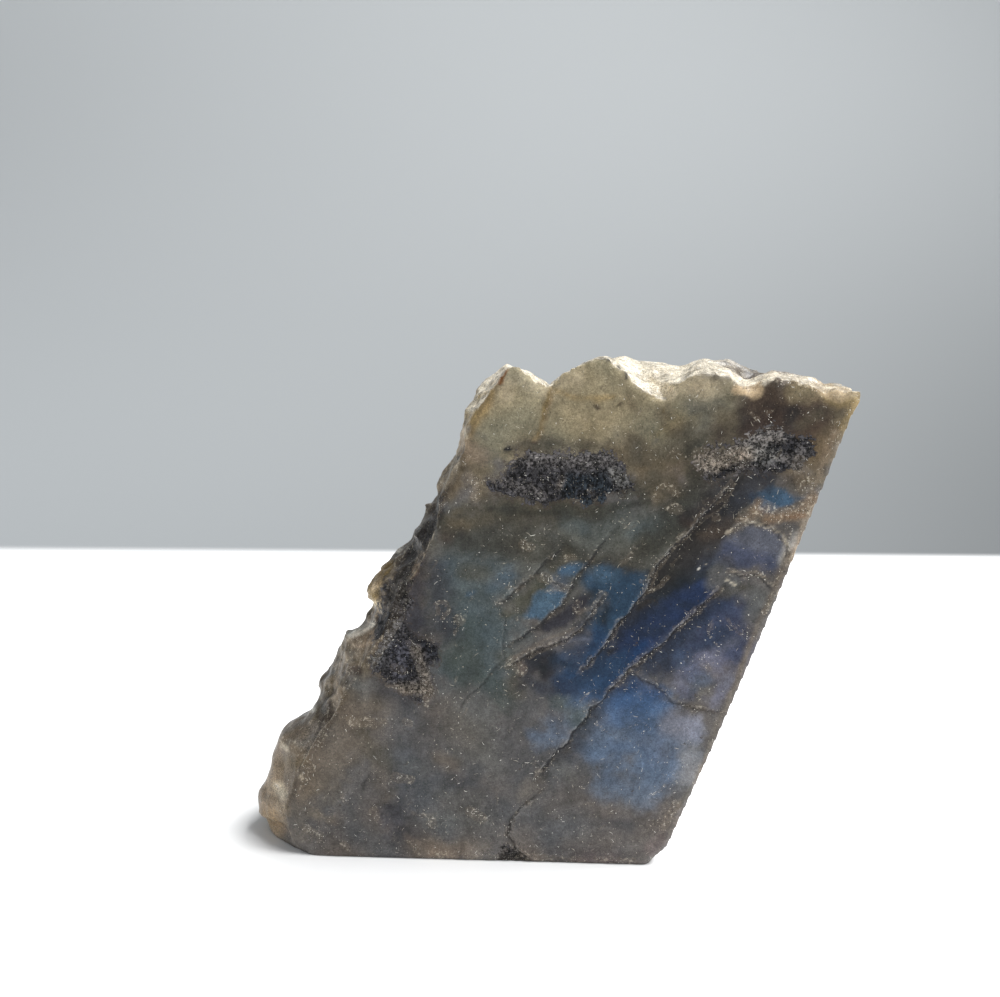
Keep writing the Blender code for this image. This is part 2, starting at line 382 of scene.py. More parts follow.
# Where the outline, as the camera sees it on the front plane, needs a push: reach, then how far
# right and up in mm, and the route of the places.
nudges = (
    (2.2, 0.0, 0.8, [(28.8, 67.8), (32.2, 67.6)]),
    (2.2, 0.0, -0.1, [(35.5, 67.0), (38.5, 66.4)]),
    (1.2, 0.5, 0.2, [(39.4, 65.8), (39.6, 66.2)]),
    (2.4, 0.0, 0.6, [(4.4, 67.6), (6.4, 69.0)]),
    (2.0, 0.0, -0.8, [(13.6, 70.2), (17.0, 69.8)]),
    (1.8, 0.0, 0.8, [(20.0, 69.6), (22.8, 69.2)]),
    (1.6, 0.0, -0.7, [(25.4, 70.0), (27.0, 69.6)]),
    (1.8, 0.9, 0.0, [(-18.6, 45.0), (-18.0, 45.6)]),
    (1.6, 0.5, 0.0, [(-22.6, 34.4), (-21.8, 36.2)]),
    (2.2, -0.7, 0.0, [(-19.6, 43.2), (-22.0, 39.6), (-22.2, 38.0)]),
    (2.4, -0.8, 0.0, [(-25.6, 32.6), (-28.0, 28.4)]),
    (1.6, 0.5, 0.0, [(-30.6, 24.2), (-30.4, 23.2)]),
)

# Where the mesh is smoothed: reach, rounds and the route of the places.
smoothed = (
    (2.8, 50, [(-32.4, 1.0), (-31.2, 10.0), (-29.0, 17.6), (-26.6, 23.0), (-24.0, 28.0)]),
    (2.6, 12, [(-35.8, 5.0), (-35.0, 10.0), (-33.4, 16.0)]),
    (1.4, 14, [(16.6, 68.6), (17.0, 66.0)]),
)


def nudgeOutline(stone):
    mesh = stone.data
    points = readPoints(mesh)
    seen = asSeen(points)[:, [0, 2]]
    behind = behindFront(points)
    for reach, right, up, route in nudges:
        share = closeTo(seen, route, reach)
        share *= (1 - ease((behind - 15) / 8)) * ease((points[:, 2] - 0.3) / 1.5)
        points[:, 0] += right * share
        points[:, 2] += up * share
    rim = ease((points[:, 2] - 61) / 3) * (1 - ease((behind - 0.3) / 1.4))
    flat = points * np.array((1, 0, 0))
    points[:, 2] += (noiseAt(flat, 0.9, 71.0) * 0.35 + noiseAt(flat, 0.45, 72.0) * 0.2) * rim
    writePoints(mesh, points)


def closeTo(across, route, reach):
    # 1 near the route and 0 from 1.6 times the reach
    return ease(1.6 - reachFrom(across, route, reach * 1.7) / reach)


# What lies a mm behind the front plane looks narrower by this share, and the foot looks this many mm
# higher, which fades out at the camera's height in mm.
sight = {"narrower": 0.0068, "higher": 0.6, "level": 86}


def asSeen(points):
    # each point moved to where the camera sees it on the front plane
    x, y, z = points.T
    behind = behindFront(points)
    return np.stack([x * (1 - sight["narrower"] * behind), y,
                     z + sight["higher"] * behind * (1 - z / sight["level"])], axis=1)


def relaxPlaces(stone):
    # the front runs smoothly into the broken left side, with no edge between them low down
    mesh = stone.data
    points = readPoints(mesh)
    seen = asSeen(points)[:, [0, 2]]
    near = (1 - ease((behindFront(points) - 5) / 4)) * ease(points[:, 2] / 1.5)
    for reach, rounds, route in smoothed:
        points = relaxed(mesh, points, closeTo(seen, route, reach) * near, rounds)
    writePoints(mesh, points)


# The smooth lump low on the left end, in mm.
lump = {"middle": (-36.5, -6.0, 11.5), "reach": (6.0, 9.0, 7.5)}


def lumpShare(points):
    away = (points - np.array(lump["middle"])) / np.array(lump["reach"])
    return ease(1.5 - np.sqrt((away ** 2).sum(axis=1)))


# Each crack runs down over the front as (x, z) in mm. mark is how clearly it is drawn. The stone on
# its right steps down by drop and comes back up over the distance back, or on its left where the
# drop is negative. dark is how wide the dark mineral on that side is, and crumbs how many splinters
# line it.
cracks = {
    "long": {"route": [(24.3, 54.6), (21.7, 51.0), (18.5, 47.1), (15.6, 43.4), (13.7, 39.0),
                       (11.1, 35.6), (8.6, 31.8), (7.2, 29.7), (5.9, 28.5)],
             "mark": 0.9, "drop": 0.30, "back": 2.4, "dark": 2.6, "crumbs": 1.0},
    "lower": {"route": [(23.7, 40.7), (19.6, 35.9), (17.1, 33.2), (14.1, 30.8), (12.5, 29.1),
                        (11.3, 27.3), (9.5, 25.3), (7.9, 23.5), (5.6, 19.9), (3.7, 17.5), (0.8, 13.5)],
              "mark": 0.9, "drop": 0.26, "back": 2.2, "dark": 1.8, "crumbs": 0.8},
    "middle": {"route": [(9.4, 47.6), (8.4, 46.1), (6.3, 43.6), (5.2, 42.0), (3.9, 39.6), (3.4, 37.8),
                         (1.6, 36.1), (0.4, 34.8), (-1.3, 33.9), (-3.4, 32.2)],
               "mark": 0.6, "drop": 0.24, "back": 1.8, "dark": 0.9, "crumbs": 0.45},
    "short": {"route": [(3.2, 46.0), (1.1, 43.5), (0.1, 42.4), (-1.0, 41.2), (-2.5, 39.9), (-3.7, 38.6),
                        (-5.2, 37.6)],
              "mark": 0.5, "drop": 0.20, "back": 1.8, "dark": 0.9, "crumbs": 0.5},
    "spur": {"route": [(0.9, 41.8), (2.3, 40.9), (3.9, 40.1)],
             "mark": 0.5, "drop": 0.12, "back": 0.7, "dark": 0.2, "crumbs": 1.0},
    "ledge": {"route": [(8.8, 39.3), (7.4, 37.0), (6.1, 35.0), (4.0, 33.2), (2.1, 32.1), (0.2, 31.5),
                        (-2.0, 30.0), (-3.6, 29.2)],
              "mark": 0.7, "drop": 0.30, "back": 1.8, "dark": 0.9, "crumbs": 1.1},
    "upright": {"route": [(-5.2, 37.6), (-4.1, 35.9), (-3.9, 33.8), (-4.3, 32.4), (-4.0, 30.7),
                          (-3.4, 28.9)],
                "mark": 0.3, "drop": 0.12, "back": 0.8, "dark": 0.15, "crumbs": 0.5},
    "below": {"route": [(-4.0, 30.2), (-5.8, 28.1), (-6.7, 26.9), (-8.4, 25.4), (-10.4, 22.6)],
              "mark": 0.25, "drop": 0.10, "back": 1.0, "dark": 0.5, "crumbs": 0.3},
    "veil": {"route": [(-6.8, 44.6), (-6.3, 46.2), (-5.0, 47.9), (-3.4, 47.5), (-1.6, 46.4)],
             "mark": 0.12, "drop": 0.06, "back": 0.5, "dark": 0.0, "crumbs": 0.4},
    "upperRight": {"route": [(13.6, 46.9), (12.4, 45.6), (11.1, 43.7)],
                   "mark": 0.4, "drop": 0.10, "back": 0.6, "dark": 0.1, "crumbs": 0.6},
    "arc": {"route": [(31.8, 44.0), (32.1, 46.5), (31.1, 47.9), (29.4, 49.2), (26.2, 49.3), (24.3, 48.0)],
            "mark": 0.45, "drop": 0.10, "back": 0.8, "dark": 0.3, "crumbs": 0.9},
    "lowArc": {"route": [(25.0, 43.2), (26.5, 42.2), (28.7, 42.5), (31.1, 40.3)],
               "mark": 0.5, "drop": -0.14, "back": 0.9, "dark": 0.2, "crumbs": 0.8},
    "rightLow": {"route": [(12.9, 28.8), (14.2, 27.7), (15.8, 27.2), (17.7, 25.8), (18.6, 24.6),
                           (20.2, 24.1), (22.4, 23.8), (25.2, 23.3)],
                 "mark": 0.5, "drop": -0.14, "back": 1.2, "dark": 0.5, "crumbs": 0.6},
    "foot": {"route": [(1.1, 10.5), (-0.8, 9.2), (-2.7, 6.7), (-3.2, 4.2), (-1.8, 2.0), (-0.1, 0.2)],
             "mark": 0.6, "drop": -0.24, "back": 1.6, "dark": 0.5, "crumbs": 0.9},
    "footLeft": {"route": [(-22.6, 13.1), (-23.6, 9.6)],
                 "mark": 0.15, "drop": 0.12, "back": 0.9, "dark": 0.6, "crumbs": 0.2},
}


def alongRoute(across, route, margin=8.0):
    # distance from each point to a route, the side it lies on and the way the route runs there;
    # points further off than margin are left out
    nearest = np.full(len(across), 1e9)
    side = np.ones(len(across))
    heading = np.zeros(len(across))
    low = np.min(route, axis=0) - margin
    high = np.max(route, axis=0) + margin
    close = np.nonzero(((across > low) & (across < high)).all(axis=1))[0]
    x, z = across[close].T
    best = np.full(len(close), 1e9)
    bestSide = np.ones(len(close))
    bestHeading = np.zeros(len(close))
    for (ax, az), (bx, bz) in zip(route, route[1:]):
        runX = bx - ax
        runZ = bz - az
        share = np.clip(((x - ax) * runX + (z - az) * runZ) / (runX ** 2 + runZ ** 2), 0, 1)
        distance = np.hypot(x - ax - share * runX, z - az - share * runZ)
        closer = distance < best
        best[closer] = distance[closer]
        bestSide[closer] = np.where(runX * (z - az) - runZ * (x - ax) > 0, 1, -1)[closer]
        bestHeading[closer] = math.atan2(runZ, runX)
    nearest[close] = best
    side[close] = bestSide
    heading[close] = bestHeading
    return nearest, side, heading


def insideArea(across, corners):
    crossings = np.zeros(len(across), int)
    for (ax, az), (bx, bz) in zip(corners, corners[1:]):
        spans = (az > across[:, 1]) != (bz > across[:, 1])
        rise = bz - az if bz != az else 1.0
        crossings += spans & (across[:, 0] < ax + (across[:, 1] - az) / rise * (bx - ax))
    return crossings % 2 == 1


def reachFrom(across, route, margin=8.0):
    # distance from a route, or from the edge of an area, which is a route that comes back to its
    # first point and is negative inside
    distance = alongRoute(across, route, margin)[0]
    if route[0] == route[-1]:
        distance = np.where(insideArea(across, route), -distance, distance)
    return distance


def beside(across, crack):
    # distance from a crack, positive on the side that steps down
    distance, side, _ = alongRoute(across, crack["route"])
    return distance * side * (1 if crack["drop"] > 0 else -1)


def frontField(points, normals):
    # 1 on the sawn front and in its pits
    return ease((-normals[:, 1] - 0.35) / 0.3) * (points[:, 1] < sawnFront + stoneMake["frontReach"])


def wander(points, size, seed):
    # noise in X and Z that is nearly the same at every depth
    flat = points * np.array((1, 0.35, 1))
    return np.stack([noiseAt(flat, size, seed), noiseAt(flat, size, seed + 40)], axis=1)


def crackPlaces(points):
    # the (x, z) of each point, moved about so that straight routes run like cracks
    return points[:, [0, 2]] + wander(points, 1.9, 21.0) * 0.28 + wander(points, 0.6, 27.0) * 0.12


def carveFront(stone):
    mesh = stone.data
    points = readPoints(mesh)
    normals = readNormals(mesh)
    onFront = frontField(points, normals)
    wanted = np.nonzero(onFront > 0.01)[0]
    place = points[wanted]
    across = crackPlaces(place)
    depth = np.zeros(len(place))
    vary = noiseAt(place, 2.5, 29.0)
    for crack in cracks.values():
        lower = beside(across, crack)
        drop = abs(crack["drop"]) * (0.8 + 0.6 * vary)
        fall = np.clip(1 - lower / crack["back"], 0, 1) ** 1.5 * ease(lower / 0.3 + 0.5)
        depth = np.maximum(depth, drop * fall)
    depth += 0.05 + np.abs(noiseAt(place, 2.6, 31.0)) * 0.03
    crumbly = crumbField(place, across)
    depth += crumbly * (noiseAt(place, 0.75, 37.0) * 0.10 + noiseAt(place, 0.4, 39.0) * 0.06)
    patch = ease(patchReach(place) * 4 - 1.6)
    depth += patch * (0.10 + noiseAt(place, 0.9, 33.0) * 0.14 + noiseAt(place, 0.45, 35.0) * 0.09)
    points[wanted, 1] += depth * onFront[wanted]
    writePoints(mesh, points)


# Where the stone is crumbly, besides along its cracks: how much, how wide and the route.
crumbs = (
    (5, 0.7, [(-8.6, 54.8), (-7.6, 54.4), (-7.8, 52.4)]),
    (7, 0.7, [(-9.4, 60.6), (-10.6, 57.0), (-12.2, 53.6)]),
    (5, 0.4, [(-8.6, 57.6), (-9.2, 56.6)]),
    (7, 1.0, [(-12.8, 51.6), (-15.2, 47.0), (-17.6, 42.4), (-18.8, 37.4)]),
    (7, 0.5, [(-15.2, 44.4), (-15.8, 42.6), (-16.8, 41.2)]),
    (7, 0.7, [(-21.8, 29.2), (-20.4, 31.6), (-18.8, 34.4), (-17.6, 36.4)]),
    (7, 0.6, [(-16.4, 32.0), (-15.6, 30.0), (-14.6, 27.4), (-14.0, 25.2)]),
    (6, 0.5, [(-18.6, 28.8), (-17.6, 28.2)]),
    (4, 0.5, [(-19.4, 26.2), (-16.6, 25.2), (-14.4, 24.8), (-14.4, 23.4)]),
    (6, 0.9, [(-24.4, 32.2), (-22.2, 33.0)]),
    (6, 0.7, [(-24.8, 30.0), (-24.6, 28.6)]),
    (4, 0.6, [(-23.4, 28.4), (-26.0, 25.0), (-28.4, 19.4), (-29.4, 16.8)]),
    (8, 0.6, [(-32.4, 12.8), (-31.4, 12.2)]),
    (4, 0.9, [(-34.6, 18.2), (-32.0, 16.0), (-30.6, 13.8)]),
    (7, 0.8, [(33.9, 51.6), (31.0, 50.4), (28.4, 51.6), (26.4, 49.8)]),
    (2, 0.6, [(21.4, 52.4), (19.4, 48.4), (22.6, 48.2)]),
    (8, 0.3, [(17.0, 42.0), (16.4, 41.0), (15.2, 40.2)]),
    (8, 0.3, [(13.4, 41.5), (14.0, 41.3)]),
    (7, 0.25, [(6.0, 34.8), (3.8, 33.2), (0.8, 31.9)]),
    (3, 0.3, [(8.8, 39.2), (7.4, 37.6)]),
    (5, 1.4, [(24.0, 69.4), (34.0, 68.4)]),
    (6, 0.5, [(-25.4, 30.6), (-23.0, 29.4)]),
    (6, 0.6, [(-1.6, 45.9), (-0.8, 45.7)]),
    (5, 0.5, [(3.9, 44.3), (4.6, 44.5)]),
    (9, 0.5, [(0.7, 41.7), (1.5, 41.6)]),
    (7, 0.25, [(-12.8, 36.5), (-13.0, 37.7), (-11.9, 38.0), (-11.2, 37.1), (-12.3, 35.9)]),
    (6, 0.5, [(-10.3, 35.9), (-9.8, 35.5)]),
    (4, 0.5, [(16.4, 54.4), (17.6, 53.0)]),
    (5, 0.4, [(23.7, 52.6), (24.4, 54.4)]),
    (7, 0.4, [(22.6, 49.9), (23.0, 49.9)]),
    (7, 0.7, [(-2.9, 30.0), (-1.6, 28.6)]),
    (1.5, 1.2, [(20.4, 31.0), (23.6, 30.4)]),
    (4, 1.2, [(20.6, 58.0), (26.0, 58.0)]),
    (1, 1.2, [(27.6, 62.8), (31.4, 64.2)]),
    (4, 0.4, [(26.4, 63.4), (27.2, 62.6)]),
    (4, 1.0, [(32.8, 57.4), (34.6, 52.4)]),
    (4, 0.8, [(-24.8, 20.9), (-22.0, 20.4)]),
    (6, 0.5, [(-17.2, 20.8), (-16.8, 20.6)]),
    (5, 0.7, [(-18.6, 12.6), (-16.8, 12.2)]),
    (6, 0.6, [(-22.0, 7.4), (-21.4, 6.4)]),
    (4, 0.8, [(-31.4, 4.2), (-29.6, 3.4)]),
    (4, 0.8, [(-8.4, 7.8), (-7.0, 6.8)]),
    (5, 0.5, [(-26.0, 2.2), (-25.6, 1.6)]),
    (3, 0.7, [(-16, 0.9), (-6, 0.7), (8, 0.7), (14, 0.7)]),
    (4, 0.6, [(18.2, 6.0), (19.8, 9.8)]),
    (3, 0.5, [(33.6, 49.0), (32.2, 43.4), (29.6, 37.6)]),
    (2, 0.6, [(36.6, 60.4), (38.6, 64.6)]),
)


def veinShare(points):
    # thin crumbly lines that wander, break off and start again
    line = 1 - np.abs(noiseAt(points, 4.4, 63.0)) / 0.10
    return np.clip(line, 0, 1) * ease(noiseAt(points, 2.6, 64.0) * 2.2 + 0.15)


def crumbField(points, across):
    # how crumbly the front is at each place, 0 to 1
    amount = veinShare(points) * 0.6
    for crack in cracks.values():
        distance = alongRoute(across, crack["route"])[0]
        broken = 0.55 + 0.6 * noiseAt(points, 1.6, 65.0)
        amount = np.maximum(amount, ease((0.95 - distance) / 0.7) * crack["crumbs"] * broken)
    for much, half, route in crumbs:
        amount = np.maximum(amount, min(1, much / 6) * ease((half - reachFrom(across, route)) / half + 0.6))
    return np.clip(amount, 0, 1)


# Patches of dark granular mineral: each has an outline as (x, z) in mm.
patches = {
    "upper": [(-6.2, 54.3), (-5.0, 54.9), (-3.6, 55.9), (-3.3, 57.7), (-0.6, 58.5), (1.3, 58.0),
              (5.4, 58.4), (7.7, 58.3), (9.7, 57.9), (10.8, 56.8), (11.1, 55.3), (12.8, 53.7),
              (10.6, 53.4), (8.8, 53.6), (8.4, 52.0), (6.4, 51.9), (3.5, 52.3), (0.4, 51.2),
              (-1.4, 51.8), (-3.7, 52.5), (-5.5, 53.4), (-6.2, 54.3)],
    "right": [(19.2, 57.8), (21.0, 59.0), (23.7, 59.4), (27.1, 60.8), (29.7, 61.8), (32.0, 61.0),
              (34.2, 60.4), (34.4, 58.4), (33.2, 56.6), (30.5, 56.0), (27.3, 56.2), (25.0, 56.2),
              (22.4, 54.8), (20.6, 56.2), (19.2, 57.8)],
    "left": [(-22.2, 29.6), (-20.8, 31.6), (-19.4, 33.6), (-18.2, 36.0), (-17.0, 35.6), (-16.2, 33.6),
             (-14.8, 33.0), (-12.8, 32.2), (-12.6, 30.2), (-13.6, 28.6), (-13.6, 25.2), (-15.6, 24.2),
             (-18.2, 25.2), (-20.4, 27.0), (-22.2, 29.6)],
    "leftStrip": [(-11.8, 52.4), (-12.6, 49.4), (-14.4, 46.4), (-15.4, 43.6), (-16.6, 40.6), (-16.2, 37.4),
                  (-17.4, 33.6), (-21.2, 32.2), (-20.4, 36.6), (-19.4, 40.0), (-17.6, 43.0), (-16.4, 46.4),
                  (-14.4, 50.4), (-13.4, 52.6), (-11.8, 52.4)],
    "toe": [(-3.6, 2.2), (-2.0, 1.8), (-0.4, 0.0), (-4.6, 0.0), (-3.6, 2.2)],
}

# Tints inside the patches: finish, half width, soft edge, strength and route.
patchTints = (
    ("slateDark", 50, 1, 1.0, [(0, 30), (0, 40)]),
    ("slateLight", 0.8, 1.6, 0.8, [(-2.6, 57.4), (2.0, 57.2), (9.4, 57.4)]),
    ("slateLight", 0.6, 1.4, 0.7, [(-4.6, 54.6), (-2.4, 53.0), (0.4, 52.2)]),
    ("tanGrey", 0.5, 1.2, 0.7, [(2.7, 54.0), (3.0, 54.6)]),
    ("mistGrey", 0.8, 1.2, 0.7, [(10.2, 55.6), (11.0, 54.6)]),
    ("ink", 1.6, 1.4, 1.0, [(4.4, 53.8), (8.2, 54.2), (7.8, 52.6), (5.2, 52.4)]),
    ("coal", 0.5, 0.7, 1.0, [(5.6, 53.2), (7.4, 53.0)]),
    ("tanGrey", 1.4, 1.8, 0.9, [(21.4, 57.4), (23.6, 57.4), (26.0, 58.0)]),
    ("pinkTan", 0.6, 1.4, 0.8, [(24.4, 57.8), (26.4, 58.2)]),
    ("warmGrey", 1.1, 2.0, 0.9, [(26.8, 59.8), (29.4, 60.4), (28.0, 58.2), (32.6, 58.0)]),
    ("coal", 0.8, 0.9, 0.9, [(29.4, 59.0), (31.8, 58.9)]),
    ("coal", 0.35, 0.5, 0.95, [(22.8, 55.4), (23.7, 56.2), (25.4, 57.0), (27.3, 56.9), (29.1, 57.1),
                               (30.8, 56.3)]),
    ("coalBrown", 1.2, 1.6, 1.0, [(-12.6, 50.8), (-15.2, 46.6), (-17.0, 42.4), (-18.6, 38.6)]),
    ("bark", 0.4, 1.0, 0.4, [(-14.6, 46.0), (-16.2, 42.6), (-17.4, 37.4)]),
    ("slateViolet", 1.4, 1.4, 1.0, [(-19.0, 31.6), (-17.4, 31.0), (-18.0, 28.4)]),
    ("coal", 0.8, 1.0, 1.0, [(-14.6, 32.0), (-13.4, 30.2)]),
    ("dimGrey", 0.5, 1.2, 0.8, [(-21.6, 29.4), (-20.2, 31.8), (-18.6, 34.8)]),
    ("tanGrey", 0.4, 1.2, 0.8, [(-16.0, 31.4), (-14.6, 27.4), (-14.2, 25.2), (-18.6, 26.0)]),
    ("tanGrey", 0.6, 1.4, 0.7, [(-17.8, 26.2), (-14.6, 25.8)]),
    ("mistGrey", 1.0, 2.0, 0.5, [(27.0, 58.6), (29.0, 57.8)]),
    ("slateDark", 1.0, 1.6, 0.5, [(31.4, 58.2), (33.0, 58.4)]),
    ("coal", 0.6, 1.2, 0.8, [(-13.0, 50.6), (-15.4, 46.6), (-17.0, 42.4)]),
    ("coalBrown", 1.5, 1.5, 1.0, [(-4.0, 1.0), (-1.0, 0.6)]),
)

# Tints of the stone itself, painted one over the other right through it.
deepTints = (
    ("warmGrey", 60, 1, 1.0, [(0, 20), (0, 30)]),
    ("oliveGrey", 7.0, 12.0, 1.0, [(-6, 66), (12, 66)]),
    ("oliveDeep", 5.0, 8.0, 0.9, [(20, 60), (36, 62)]),
    ("mossGrey", 6.0, 9.0, 0.8, [(-10, 44), (14, 46)]),
    ("barkWarm", 4.0, 8.0, 0.8, [(-32, 12), (-24, 26), (-16, 42)]),
    ("dimGrey", 5.0, 8.0, 0.7, [(-8, 18), (12, 12)]),
)
backTints = (
    ("mistTeal", 4.0, 5.0, 0.8, [(-10, 30), (2, 46)]),
    ("umber", 2.4, 3.0, 0.8, [(22, 62), (33, 58)]),
    ("slate", 2.2, 3.0, 0.8, [(14, 30), (22, 44)]),
    ("deepBlue", 1.6, 2.6, 0.8, [(10, 34), (15, 41)]),
    ("steel", 1.0, 2.2, 0.8, [(-6, 24), (-2, 30)]),
    ("coalBrown", 1.6, 2.0, 0.8, [(-24, 14), (-20, 20), (-19, 26)]),
    ("ochre", 1.0, 2.4, 0.8, [(-6, 61), (2, 56), (6, 49)]),
    ("bark", 1.8, 3.0, 0.7, [(2, 8), (12, 6)]),
)

